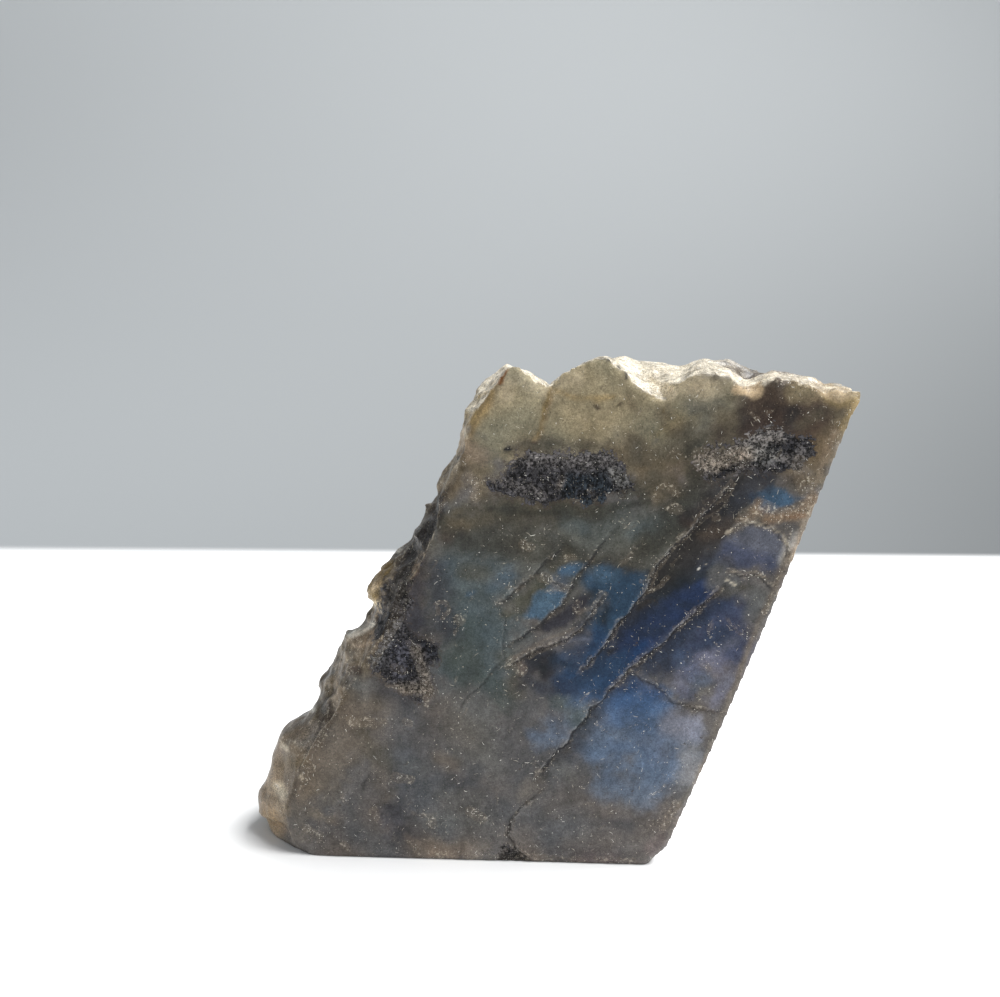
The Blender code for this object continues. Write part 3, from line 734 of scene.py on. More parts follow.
# Tints of the front, and of the broken edge that shows on its left. An area is a route that comes
# back to its first point. Names after the route are cracks that bound the tint: it lies on their
# lower side, or on their upper side after a minus.
frontTints = (
    # top left, where light comes through
    ("oliveGlow", 7.0, 8.0, 1.0, [(-3, 65), (8, 66), (11, 65)]),
    ("oliveGrey", 2.6, 4.0, 0.9, [(15, 62), (19, 63), (23, 65.6)]),
    ("oliveDeep", 2.4, 3.6, 0.9, [(12, 59.6), (15, 57), (15, 54.6)]),
    ("mossGrey", 1.4, 2.6, 0.6, [(18, 60), (21, 62.4)]),
    ("mossGrey", 1.2, 2.4, 0.7, [(19.6, 65.0), (22.4, 64.6)]),
    ("oliveDeep", 0.8, 1.8, 0.8, [(11.0, 64.6), (12.6, 62.6), (11.4, 61.0)]),
    ("oliveGrey", 1.6, 3.6, 0.8, [(-4.6, 61.4), (1.4, 61.2)]),
    ("oliveDeep", 1.4, 2.6, 0.8, [(15.4, 63.4), (17.2, 61.0)]),
    ("bark", 0.8, 2.6, 0.9, [(-2.8, 59.2), (2.0, 59.4), (8.6, 59.2)]),
    ("sand", 1.2, 2.8, 0.8, [(11.2, 59.6), (13.6, 57.0)]),
    ("bark", 1.6, 3.0, 0.8, [(18.8, 60.6), (20.6, 57.4)]),
    ("moss", 1.2, 2.4, 0.8, [(10.2, 55.0), (13.4, 53.4)]),
    ("topGlow", 1.0, 2.8, 0.9, [(-4.2, 67.4), (0.8, 66.0), (4.4, 67.6)]),
    ("topGlow", 0.7, 1.8, 0.8, [(17.6, 66.6), (22.6, 66.8)]),
    ("tanGrey", 1.0, 2.4, 0.8, [(-8.8, 59.0), (-7.4, 57.4)]),
    ("oliveDeep", 1.4, 2.6, 0.9, [(-8.0, 57), (-6.6, 53.4)]),
    ("sand", 1.6, 2.4, 0.9, [(-8.6, 59.0), (-10.8, 54.0)]),
    ("ochre", 1.2, 1.6, 0.9, [(-5.8, 67.0), (-7.4, 63.6), (-8.8, 61.0)]),
    ("frost", 0.5, 1.2, 0.6, [(-9.2, 60.6), (-10.4, 57.2)]),
    ("tanGrey", 0.7, 1.2, 0.8, [(-8.8, 54.8), (-7.6, 54.2), (-7.9, 52.0)]),
    ("umber", 0.7, 1.2, 0.8, [(-11.0, 55.0), (-11.8, 53.0)]),
    # under the upper patch
    ("bark", 2.0, 2.6, 1.0, [(-11.6, 48.6), (-4, 50.4), (3, 50.6)]),
    ("moss", 0.6, 1.6, 0.9, [(-6, 50.8), (-1, 49.8), (3, 50.4), (9, 51.0), (14, 51.8)]),
    ("sand", 0.7, 2.0, 0.8, [(-10.8, 49.4), (-9.0, 48.8)]),
    ("umber", 0.9, 1.8, 0.8, [(-12.4, 46.8), (-9.4, 47.4)]),
    # the misty middle
    ("mistTeal", 5.2, 6.0, 1.0, [(-9, 40), (-7, 34), (-7.4, 30)]),
    ("mossDark", 2.0, 3.0, 0.9, [(-9, 46.4), (-3, 46.0), (0, 46.4)]),
    ("mossGrey", 2.4, 3.2, 1.0, [(6.4, 47.6), (10, 48.0), (14, 48.0)]),
    ("mossDark", 1.0, 2.2, 0.8, [(2.4, 50.6), (9.6, 50.6)]),
    ("mistTeal", 1.2, 2.2, 0.8, [(12.4, 48.0), (15.4, 48.6)]),
    ("mistTeal", 0.9, 2.0, 0.7, [(4.0, 49.4), (6.4, 48.4)]),
    ("mossDark", 1.4, 2.2, 0.9, [(1.0, 45.0), (6, 44.0), (12, 43.8)]),
    ("moss", 1.8, 2.6, 0.9, [(14, 46), (17, 49), (20, 53.4), (20.6, 55.4)]),
    ("mistGreen", 2.4, 3.0, 0.8, [(-10, 34), (-9, 28)]),
    ("mistGreen", 1.8, 3.0, 0.7, [(-6, 27), (-4, 24)]),
    ("slate", 1.6, 3.0, 0.8, [(-13.6, 42.6), (-12.6, 38.4), (-12.2, 34.0)]),
    ("slateViolet", 1.6, 2.0, 0.9, [(-16.0, 44.0), (-16.8, 38.4), (-16.0, 34.0)]),
    ("steel", 0.35, 0.8, 0.7, [(-9.2, 39.1), (-8.7, 39.2)]),
    ("steel", 0.9, 2.6, 0.35, [(-6.0, 40.4), (-3.4, 41.4)]),
    # lower left
    ("tanGrey", 3.0, 4.6, 0.8, [(-29, 15), (-25, 22)]),
    ("mistGrey", 2.8, 4.4, 0.9, [(-9, 23), (-7, 16)]),
    ("slate", 1.8, 3.0, 0.8, [(-19.4, 11.8), (-18.4, 5.6), (-16.2, 3.0)]),
    ("dimGrey", 2.0, 3.6, 0.9, [(-16, 23), (-16.5, 12), (-12, 4)]),
    ("dimGrey", 2.2, 4.0, 0.7, [(-13, 12), (-5, 8)]),
    ("slate", 1.4, 3.0, 0.7, [(-22.0, 26.4), (-17.4, 24.6)]),
    ("tanGrey", 1.2, 3.0, 0.8, [(-16.0, 2.0), (-7.2, 2.4)]),
    ("mistGrey", 1.6, 3.6, 0.8, [(-12.4, 6.0), (-7.2, 6.0)]),
    ("tanGrey", 0.9, 2.4, 0.7, [(-1.0, 10.4), (0.8, 12.6)]),
    ("tanGrey", 1.0, 2.2, 0.7, [(-29.6, 19.0), (-27.4, 17.0)]),
    ("dimGrey", 1.2, 3.0, 0.6, [(-25, 8), (-25, 3)]),
    ("tanGrey", 1.1, 2.0, 0.8, [(-12.6, 15.6), (-11.2, 14.6)]),
    ("bark", 1.4, 2.6, 0.6, [(-23, 19), (-20, 15)]),
    ("slate", 0.7, 1.8, 0.6, [(-12.0, 10.6), (-8.4, 12.4)]),
    # the broken left edge
    ("honey", 1.0, 1.2, 0.8, [(-6.4, 65.6), (-8.0, 62.6)]),
    ("sandFrost", 0.8, 1.2, 0.9, [(-9.8, 60.4), (-10.6, 57.0), (-12.0, 54.0)]),
    # painted highlight on the broken edge
    ("milk", 0.25, 0.5, 0.8, [(-10.2, 60.0), (-11.2, 56.4)]),
    ("sand", 0.9, 1.2, 0.9, [(-11.6, 55.4), (-12.6, 52.6)]),
    ("coalBrown", 1.3, 1.4, 0.9, [(-13.4, 51.2), (-15.4, 47.6), (-16.8, 45.0)]),
    # painted glints beside the dark band
    ("milk", 0.3, 0.6, 0.7, [(-15.8, 48.4), (-18.0, 44.8)]),
    ("tan", 0.5, 0.7, 0.9, [(-15.2, 44.4), (-15.8, 42.6), (-16.8, 41.2)]),
    ("coalBrown", 0.9, 1.0, 0.95, [(-16.6, 45.4), (-18.2, 41.6), (-19.2, 38.0)]),
    ("oliveBrown", 1.0, 1.0, 1.0, [(-19.8, 43.0), (-21.4, 40.0), (-21.8, 38.6)]),
    # painted highlight on a ledge
    ("chipCream", 0.35, 0.8, 0.9, [(-21.8, 38.0), (-20.8, 37.4)]),
    ("chipHoney", 0.5, 0.9, 0.8, [(-20.6, 42.4), (-21.2, 40.2)]),
    ("umber", 0.45, 0.4, 0.9, [(-20.9, 35.4), (-20.7, 35.3)]),
    # painted highlight on an up-facing ledge
    ("milk", 0.6, 0.7, 1.0, [(-24.4, 33.2), (-22.0, 35.2)]),
    ("tan", 0.9, 1.2, 0.95, [(-24.4, 31.6), (-21.8, 33.2)]),
    ("barkWarm", 2.0, 2.0, 1.0, [(-25.8, 30.2), (-25.0, 28.4), (-27.4, 25.0), (-29.4, 22.6)]),
    ("umberDark", 0.5, 0.6, 0.9, [(-25.0, 27.4), (-24.2, 27.8)]),
    ("umber", 0.9, 1.0, 1.0, [(-28.6, 22.8), (-28.2, 20.8), (-28.9, 17.8)]),
    # painted highlight on a rim of the left slope
    ("milk", 0.7, 0.9, 0.9, [(-33.0, 21.4), (-30.8, 22.0)]),
    ("tan", 2.4, 3.0, 1.0, [(-36.6, 4.0), (-36.2, 12.0), (-34.0, 17.4)]),
    ("barkWarm", 1.2, 1.8, 0.8, [(-32.6, 17.6), (-32.2, 15.0)]),
    ("tanGrey", 1.2, 2.6, 0.8, [(-32.0, 14.0), (-32.6, 7.4), (-32.0, 3.0)]),
    ("oliveBrown", 0.8, 1.4, 0.4, [(-33.8, 14.6), (-32.0, 14.8)]),
    # painted light: the glow of light through the thin lump, with a milk white painted highlight at its
    # brightest spot and two small glowing spots beside it
    ("glow", 0.6, 1.4, 0.9, [(-35.0, 10.8), (-34.7, 9.6)]),
    ("milk", 0.12, 0.3, 1.0, [(-35.4, 10.8), (-35.2, 10.4)]),
    ("glow", 0.3, 0.6, 0.9, [(-33.9, 16.4), (-33.5, 16.3)]),
    ("glow", 0.2, 0.5, 0.9, [(-31.9, 12.7), (-31.5, 12.3)]),
    # lower right
    ("hazeBlue", 4.0, 5.2, 0.95, [(9.5, 19.5), (14, 19.5), (17.4, 16.5)]),
    ("hazeBlue", 2.4, 4.6, 0.8, [(11, 12), (16, 11)]),
    ("paleGrey", 1.4, 2.6, 0.95, [(21.0, 17.4), (21.4, 14.0), (20.2, 10.4)]),
    ("mistGrey", 1.4, 2.6, 0.8, [(19.4, 27.0), (23.0, 26.0)]),
    ("softBlue", 2.4, 3.6, 0.95, [(11.4, 23.6), (13.2, 24.4), (16.0, 23.6), (15.4, 21.6)], "lower"),
    ("softBlue", 1.2, 3.0, 0.6, [(12.0, 18.4), (15.4, 17.6)]),
    ("strongSoft", 1.2, 2.4, 0.8, [(12.4, 24.8), (14.6, 25.0), (16.2, 22.6), (15.8, 18.4)], "lower"),
    ("paleBlue", 1.6, 2.2, 1.0, [(18.4, 21.4), (21.4, 20.8)]),
    ("hazeBlue", 1.2, 2.4, 0.7, [(1.2, 18.9), (3.6, 19.3)]),
    ("mistTeal", 1.4, 2.2, 0.9, [(4.0, 24.6), (6.2, 23.4), (6.0, 22.0)]),
    ("slate", 0.9, 2.6, 0.7, [(4.6, 16.0), (7.0, 19.6), (9.2, 22.6)], "lower"),
    ("warmGrey", 2.0, 3.6, 0.9, [(4, 10), (9, 7), (14, 6)]),
    ("pinkGrey", 1.1, 1.8, 0.8, [(7.4, 1.2), (11.4, 1.2)]),
    ("pinkGrey", 0.9, 1.6, 0.8, [(16.6, 2.6), (17.8, 4.6)]),
    ("dimGrey", 1.6, 3.0, 0.7, [(0.6, 6.6), (2.6, 4.0)]),
    ("violet", 3.4, 3.2, 1.0, [(20.6, 33.6), (24.4, 36.2), (25.0, 32.6)], "lower"),
    ("violetGrey", 0.7, 1.8, 0.6, [(23.0, 31.0), (26.0, 33.0)]),
    ("navy", 1.4, 2.4, 0.8, [(17.4, 29.6), (21.4, 32.0), (24.4, 34.4)], "lower"),
    ("slate", 1.1, 1.8, 0.8, [(15.0, 29.6), (18.0, 32.4), (21.4, 36.6)], "lower"),
    # right of the long crack
    ("navy", 5.0, 4.0, 0.75, [(9, 31), (16, 36), (22, 41)]),
    ("umber", 3.4, 2.8, 1.0, [(28.4, 63.8), (33, 63)]),
    ("coalBrown", 1.4, 2.4, 0.8, [(22.4, 53.2), (25.4, 54.9), (28.6, 55.3)]),
    ("umber", 1.4, 2.4, 0.9, [(23.4, 61.4), (27, 63)]),
    ("sand", 1.2, 2.2, 0.9, [(34.8, 59.4), (35.2, 55.4), (33.2, 55.0)]),
    ("coalBrown", 2.2, 2.2, 0.95, [(16.4, 41.6), (20, 45.8), (24, 51)], "long"),
    ("slate", 1.2, 1.8, 0.9, [(23.6, 50.8), (26.2, 53.0)], "long"),
    ("umber", 0.9, 1.8, 0.8, [(21.4, 47.4), (24.0, 49.6)], "long"),
    ("violetGrey", 1.9, 1.4, 1.0, [(26.2, 46.2), (28.8, 47.2), (30.2, 45.6)]),
    ("violet", 1.1, 1.8, 0.8, [(25.0, 45.6), (27.4, 44.4), (30.0, 44.0)]),
    ("mistGrey", 1.3, 2.2, 0.8, [(27.8, 40.4), (30.0, 39.2)]),
    ("bark", 0.9, 1.8, 0.8, [(24.4, 40.2), (26.6, 40.8)]),
    ("ink", 1.2, 1.6, 0.9, [(22.6, 42.6), (18.6, 41.2), (15.4, 38.8)], "long"),
    ("royal", 2.0, 1.8, 1.0, [(21.4, 40.0), (18.0, 37.6), (14.6, 34.4), (12.0, 31.2)], "long", "-lower"),
    ("night", 0.8, 1.6, 0.7, [(10.6, 34.2), (13.2, 35.6), (16.4, 37.8)], "long", "-lower"),
    ("strong", 0.6, 1.4, 0.8, [(14.6, 32.8), (12.6, 30.6), (10.4, 28.0), (9.6, 26.6)], "-lower"),
    ("deepBlue", 1.4, 2.2, 0.9, [(11.0, 31.0), (9.4, 29.0), (7.4, 26.8)], "-lower"),
    # the blue windows between the cracks
    ("mossSoft", 1.0, 1.4, 0.95, [(-4.0, 36.8), (-1.4, 38.8), (0.6, 41.0)], "short"),
    ("bark", 0.7, 1.2, 0.7, [(2.0, 43.0), (4.4, 44.6)]),
    ("steel", 0.15, 0.9, 1.0, [(-0.5, 39.3), (1.6, 40.0), (3.9, 39.8), (3.3, 38.2), (0.9, 35.9),
                               (-1.4, 36.2), (-0.5, 39.3)], "-middle"),
    ("steel", 0.6, 1.0, 0.95, [(3.5, 42.6), (5.4, 42.9)], "-middle"),
    ("slateViolet", 0.9, 0.9, 1.0, [(1.6, 34.6), (4.4, 36.6), (6.6, 39.0)], "middle"),
    ("teal", 2.2, 2.4, 1.0, [(8.8, 41.6), (12.0, 40.6), (11.2, 37.4), (8.8, 34.8)], "-long"),
    ("steel", 0.9, 1.8, 0.7, [(8.2, 42.4), (10.2, 42.0)], "-long"),
    ("ink", 0.5, 1.6, 0.8, [(7.6, 39.6), (9.6, 37.6), (8.6, 35.8)]),
    ("mistGrey", 0.1, 0.5, 0.9, [(8.4, 39.0), (6.0, 36.2), (3.6, 34.3), (0.4, 32.7), (-3.2, 31.0)],
     "-ledge"),
    ("tanGrey", 0.2, 0.5, 0.8, [(5.0, 34.7), (2.0, 32.9), (-2.8, 30.3)], "-ledge"),
    ("deepBlue", 1.2, 2.0, 0.9, [(8.0, 33.6), (8.0, 30.6), (6.2, 28.0)]),
    ("deepBlue", 1.5, 2.4, 0.9, [(3.4, 27.0), (6.0, 26.0), (9.0, 25.8)], "-lower"),
    ("slate", 1.2, 2.4, 0.8, [(-1.6, 27.6), (1.8, 25.8)]),
    ("slateDark", 1.4, 1.8, 1.0, [(-0.6, 29.6), (1.8, 30.0), (1.6, 28.4)], "ledge"),
    ("coal", 0.5, 1.2, 0.8, [(0.0, 30.2), (2.2, 30.8)], "ledge"),
    ("deepBlue", 0.8, 1.6, 0.8, [(4.2, 30.2), (4.6, 28.4)]),
    ("violetGrey", 0.4, 0.9, 0.8, [(3.8, 33.0), (6.8, 32.8)], "ledge"),
    ("pinkGrey", 0.5, 1.0, 0.8, [(-2.8, 30.0), (-1.6, 29.2)]),
    ("bark", 1.2, 2.0, 0.6, [(-3.0, 27.4), (-1.6, 25.8)]),
    ("azure", 0.1, 0.7, 1.0, [(29.5, 54.1), (31.2, 53.7), (32.2, 52.5), (30.6, 51.5), (29.0, 50.6),
                              (28.3, 51.2), (28.6, 52.5), (27.7, 53.3), (29.5, 54.1)]),
    ("azure", 0.3, 1.0, 0.6, [(32.0, 52.8), (33.8, 52.8)]),
    ("teal", 0.5, 1.2, 0.7, [(27.0, 53.0), (27.6, 52.2)]),
    # touches of light and dark
    ("paleViolet", 1.4, 2.6, 0.5, [(23.4, 30.4), (25.0, 28.2)], "lower"),
    ("azureViolet", 1.0, 2.2, 0.8, [(19.4, 30.4), (21.0, 29.0)], "lower"),
    ("mistGrey", 1.2, 2.2, 0.9, [(23.2, 42.4), (25.0, 41.4)]),
    ("coalBrown", 0.9, 1.8, 0.8, [(18.6, 49.6), (20.8, 51.4)]),
    ("strong", 0.8, 1.8, 0.6, [(11.6, 26.4), (13.8, 26.6), (16.6, 26.0)], "lower"),
    ("coalBrown", 1.4, 2.2, 0.85, [(26.4, 62.6), (28.4, 61.8), (31.0, 63.0)]),
    ("oliveGlow", 1.2, 2.4, 0.7, [(10.8, 62.4), (13.2, 62.2)]),
    ("tan", 1.0, 2.0, 0.8, [(-8.6, 58.4), (-7.4, 57.8)]),
    ("tanGrey", 1.0, 2.8, 0.7, [(-19.8, 10.4), (-20.6, 13.6)]),
    ("tanGrey", 1.0, 2.4, 0.7, [(-28.4, 18.8), (-27.6, 17.6)]),
    ("slate", 1.0, 2.4, 0.5, [(10.6, 6.6), (13.0, 6.2)]),
    ("slate", 1.2, 2.6, 0.3, [(4.0, 2.0), (12.0, 2.4)]),
    ("mistGrey", 1.2, 2.6, 0.7, [(-12.4, 10.0), (-8.0, 9.4)]),
    ("mistGrey", 0.9, 2.2, 0.8, [(3.6, 14.4), (5.0, 13.6)]),
    ("dimGrey", 0.9, 2.2, 0.9, [(-8.6, 14.4), (-7.2, 13.6)]),
    ("mossGrey", 0.8, 1.8, 0.8, [(-0.6, 47.0), (0.4, 45.4)]),
    ("moss", 0.6, 1.6, 0.7, [(3.6, 46.6), (4.8, 45.4)]),
    ("moss", 0.8, 2.0, 0.7, [(3.0, 50.0), (9.0, 50.2)]),
    ("slate", 0.6, 1.6, 0.8, [(27.0, 55.0), (28.8, 54.6)]),
    ("oliveDeep", 0.8, 2.0, 0.7, [(24.6, 62.8), (22.8, 64.2)]),
    ("topGlow", 0.8, 1.8, 0.7, [(-4.6, 66.6), (-3.8, 64.8)]),
    ("teal", 0.5, 1.2, 0.9, [(8.2, 38.0), (9.6, 39.8)], "ledge"),
    ("pinkTan", 0.8, 2.4, 0.7, [(-13.0, 1.6), (-6.6, 1.8)]),
    ("paleViolet", 1.0, 2.2, 0.8, [(24.4, 26.6), (24.0, 25.0)]),
    ("coalBrown", 0.4, 0.8, 0.9, [(13.6, 37.4), (14.6, 38.6)], "long"),
    ("coal", 0.4, 0.8, 0.9, [(9.6, 31.8), (11.2, 32.8)], "long"),
    ("coal", 0.5, 0.9, 0.9, [(15.2, 42.8), (16.2, 41.8)], "long"),
    ("umberDark", 0.9, 1.8, 0.9, [(19.4, 49.2), (21.0, 50.6), (22.6, 51.6)]),
    ("mossDark", 1.0, 2.2, 0.8, [(-9.0, 42.2), (-6.8, 41.8)]),
    ("night", 0.7, 1.6, 0.8, [(18.6, 38.6), (21.0, 38.6)], "long", "-lower"),
    ("ink", 0.9, 1.6, 0.8, [(-0.6, 30.4), (1.0, 28.8)], "ledge"),
    ("umberDark", 1.2, 2.2, 0.8, [(26.4, 61.6), (28.6, 62.6)]),
    ("bark", 0.9, 2.0, 0.8, [(14.6, 55.4), (17.2, 54.2)]),
    ("moss", 0.9, 2.0, 0.8, [(18.6, 57.8), (20.8, 59.0)]),
    ("tanGrey", 1.0, 2.2, 0.8, [(-17.2, 26.8), (-15.0, 25.8)]),
    ("pinkTan", 0.8, 2.2, 0.5, [(-29.4, 5.6), (-27.4, 6.6)]),
    ("navy", 0.8, 1.8, 0.8, [(2.8, 26.6), (5.2, 25.6)]),
    ("strong", 0.6, 1.4, 0.8, [(11.2, 26.6), (12.6, 26.2)], "-lower"),
    ("sand", 0.9, 1.6, 0.8, [(31.2, 66.4), (33.4, 65.8)]),
    ("moss", 0.8, 1.8, 0.7, [(14.8, 54.6), (17.0, 53.4)]),
    ("umber", 0.7, 1.6, 0.7, [(31.2, 54.8), (33.0, 54.6)]),
    ("coal", 0.5, 1.4, 0.6, [(28.8, 64.6), (31.0, 64.0)]),
    ("bark", 0.6, 1.4, 0.7, [(33.0, 62.4), (34.8, 63.6)]),
    ("mossDark", 0.9, 2.0, 0.6, [(12.6, 57.8), (11.8, 59.4)]),
    ("coalBrown", 0.6, 1.4, 0.7, [(19.8, 50.0), (21.6, 51.8)]),
    ("tan", 0.6, 1.8, 0.5, [(-29.6, 6.6), (-27.8, 5.6)]),
    ("coalBrown", 0.7, 1.6, 0.7, [(23.4, 49.8), (24.6, 51.4)]),
    ("violet", 0.8, 1.8, 0.6, [(19.4, 26.4), (20.8, 25.8)]),
    ("night", 0.9, 1.8, 0.8, [(11.4, 33.2), (14.6, 34.4), (17.0, 35.6)], "long", "-lower"),
    ("ink", 0.8, 1.4, 0.9, [(2.6, 30.2), (4.4, 29.6)], "ledge"),
    ("slate", 1.0, 2.2, 0.9, [(-0.6, 26.8), (1.6, 25.6)]),
    ("mossGrey", 1.0, 2.2, 0.8, [(-9.0, 42.6), (-6.6, 41.6)]),
    ("mistGrey", 0.6, 1.8, 0.6, [(-5.0, 38.4), (-3.4, 37.4)]),
    ("tanGrey", 1.0, 2.4, 0.9, [(-25.2, 26.8), (-23.4, 25.2)]),
    ("tanGrey", 0.8, 2.0, 0.8, [(-17.0, 26.2), (-15.2, 25.6)]),
    ("tanGrey", 0.9, 2.6, 0.7, [(-25.0, 18.8), (-23.4, 17.6)]),
    ("mistGrey", 0.9, 2.6, 0.7, [(-17.0, 14.4), (-15.4, 13.6)]),
    ("warmGrey", 1.2, 2.6, 0.9, [(18.6, 9.0), (20.4, 11.0)]),
    ("violetGrey", 1.2, 2.6, 0.6, [(15.6, 19.0), (17.2, 17.4)]),
    ("bark", 1.0, 2.4, 0.8, [(14.8, 54.8), (17.4, 53.8)]),
    ("bark", 0.9, 2.0, 0.7, [(-0.8, 58.9), (1.4, 58.9)]),
    ("tan", 0.8, 1.8, 0.8, [(-8.8, 59.2), (-7.6, 57.6)]),
    ("oliveBrown", 0.8, 1.8, 0.5, [(14.4, 60.4), (17.4, 62.6)]),
    ("frost", 0.5, 1.2, 0.75, [(33.0, 48.0), (31.8, 44.6)]),
    ("mistGrey", 1.0, 2.0, 0.8, [(28.6, 39.4), (28.0, 37.0)]),
    ("oliveDeep", 1.0, 1.8, 0.9, [(31.4, 66.6), (33.4, 66.4)]),
    ("honey", 1.0, 2.0, 0.9, [(35.6, 66.0), (39.0, 65.2)]),
    ("slate", 1.2, 2.4, 0.4, [(24.0, 53.6), (28.6, 54.4)]),
    ("teal", 0.9, 1.8, 0.5, [(7.6, 37.4), (8.6, 38.8)], "-long"),
    ("dimGrey", 1.0, 2.2, 0.6, [(23.4, 42.6), (24.6, 41.4)]),
    ("moss", 0.9, 2.0, 0.5, [(15.4, 42.6), (17.0, 43.0)]),
    ("deepBlue", 1.4, 2.6, 0.4, [(4.0, 30.0), (12.0, 29.4)]),
    ("slate", 1.2, 2.4, 0.5, [(-1.0, 29.6), (1.0, 30.6)]),
    ("oliveDeep", 0.9, 2.0, 0.5, [(23.4, 62.6), (24.6, 61.4)]),
    ("warmGrey", 1.0, 2.0, 0.6, [(27.0, 58.4), (29.0, 57.6)]),
    ("mistGrey", 1.2, 2.4, 0.6, [(-25.0, 26.4), (-23.4, 25.6)]),
    ("bark", 1.0, 2.2, 0.6, [(15.2, 58.4), (17.0, 57.6)]),
    ("mossDark", 1.2, 2.4, 0.4, [(-0.6, 58.2), (0.8, 57.6)]),
    ("dimGrey", 1.2, 2.6, 0.5, [(2.6, 6.4), (5.0, 5.6)]),
    ("azureViolet", 0.8, 1.8, 0.3, [(2.4, 41.0), (3.6, 41.2)]),
    ("teal", 0.7, 1.4, 0.6, [(8.2, 38.2), (9.0, 39.2)], "-long"),
    ("slate", 0.6, 1.4, 0.4, [(5.4, 35.2), (6.8, 36.2)]),
    ("royal", 0.8, 1.6, 0.6, [(10.8, 32.4), (12.6, 34.0)], "long", "-lower"),
    ("paleViolet", 1.2, 2.4, 0.5, [(19.2, 27.6), (22.0, 30.8)], "lower"),
    ("softBlue", 1.0, 2.0, 0.5, [(21.6, 27.4), (22.8, 27.6)]),
    ("paleBlue", 0.8, 1.8, 0.4, [(24.6, 27.2), (25.4, 27.8)]),
    ("softBlue", 1.0, 2.2, 0.5, [(6.2, 24.0), (7.2, 25.0)]),
    ("hazeBlue", 1.2, 2.4, 0.4, [(3.0, 21.4), (4.0, 21.8)]),
    ("hazeBlue", 1.2, 2.4, 0.5, [(15.6, 17.6), (16.4, 22.0)]),
    ("mistGreen", 1.0, 2.2, 0.7, [(-12.6, 30.2), (-11.4, 29.6)]),
    ("mossGrey", 1.0, 2.0, 0.6, [(-4.6, 30.2), (-3.4, 29.8)]),
    ("coalBrown", 0.9, 1.8, 0.4, [(15.4, 42.2), (16.6, 42.0)]),
    ("moss", 0.9, 2.0, 0.5, [(-5.0, 50.0), (-3.0, 50.2)]),
    ("coalBrown", 0.9, 1.8, 0.5, [(19.2, 50.0), (20.8, 50.4)]),
    ("bark", 1.0, 2.0, 0.6, [(27.0, 50.2), (29.0, 49.8)]),
    ("slateDark", 1.2, 2.2, 0.4, [(23.4, 54.2), (28.4, 54.4)]),
    ("bark", 0.9, 1.8, 0.4, [(31.4, 54.2), (32.6, 54.0)]),
    ("sand", 1.2, 2.4, 0.35, [(15.2, 62.4), (16.8, 61.6)]),
    ("umberDark", 1.6, 2.4, 0.75, [(26.8, 61.6), (28.8, 63.0)]),
    ("oliveDeep", 1.2, 2.4, 0.35, [(11.2, 66.2), (12.8, 65.8)]),
    ("topGlow", 1.0, 2.0, 0.4, [(19.4, 66.2), (20.8, 66.0)]),
    ("oliveGlow", 0.8, 1.8, 0.4, [(31.4, 66.2), (32.8, 66.0)]),
    ("violetGrey", 1.2, 2.4, 0.4, [(-20.4, 6.6), (-19.6, 5.4)]),
    ("honey", 1.6, 2.4, 0.25, [(-36.0, 5.0), (-35.6, 13.0)]),
    # the rusty right edge
    ("rust", 0.7, 1.0, 0.8, [(34.6, 52.8), (33.2, 50.8), (29.6, 49.9)]),
    ("rust", 0.4, 1.0, 0.55, [(29.6, 51.4), (27.4, 50.0), (25.6, 49.6)]),
    ("rust", 0.4, 0.9, 0.7, [(28.2, 52.2), (27.6, 50.6)]),
    ("honey", 0.6, 1.8, 0.8, [(38.8, 65.4), (37.8, 62.6)]),
    ("topGlow", 0.7, 1.4, 0.9, [(35.0, 66.6), (39.0, 66.0)]),
    ("tan", 0.5, 1.4, 0.7, [(37.0, 61.2), (35.8, 57.0), (34.8, 54.0)]),
    ("tan", 0.5, 1.2, 0.8, [(34.2, 51.0), (33.4, 47.4), (32.6, 44.8)]),
    ("tanGrey", 0.35, 0.8, 0.8, [(32.4, 45.5), (30.0, 38.6), (25.2, 22.4), (20.6, 9.0)]),
    # seams and spots
    ("honey", 0.25, 0.8, 0.7, [(1.8, 66.0), (3.7, 65.6), (5.7, 65.3), (9.0, 65.7)]),
    ("ochre", 0.3, 0.8, 0.8, [(1.7, 65.4), (0.8, 62.9), (0.5, 61.4), (-0.5, 59.8)]),
    ("ochre", 0.2, 0.7, 0.7, [(-5.2, 67.4), (-7.0, 63.6), (-9.0, 59.6)]),
    ("iron", 0.32, 0.35, 1.0, [(-5.1, 67.2), (-4.3, 69.0)]),
    ("coal", 0.34, 0.22, 1.0, [(-4.0, 58.6), (-3.6, 58.7)]),
    ("umber", 0.12, 0.2, 0.9, [(7.9, 66.6), (7.9, 66.7)]),
    ("umber", 0.2, 0.3, 0.8, [(-0.8, 59.2), (-0.4, 59.3)]),
    ("umber", 0.2, 0.3, 0.8, [(5.2, 58.8), (5.6, 58.9)]),
)

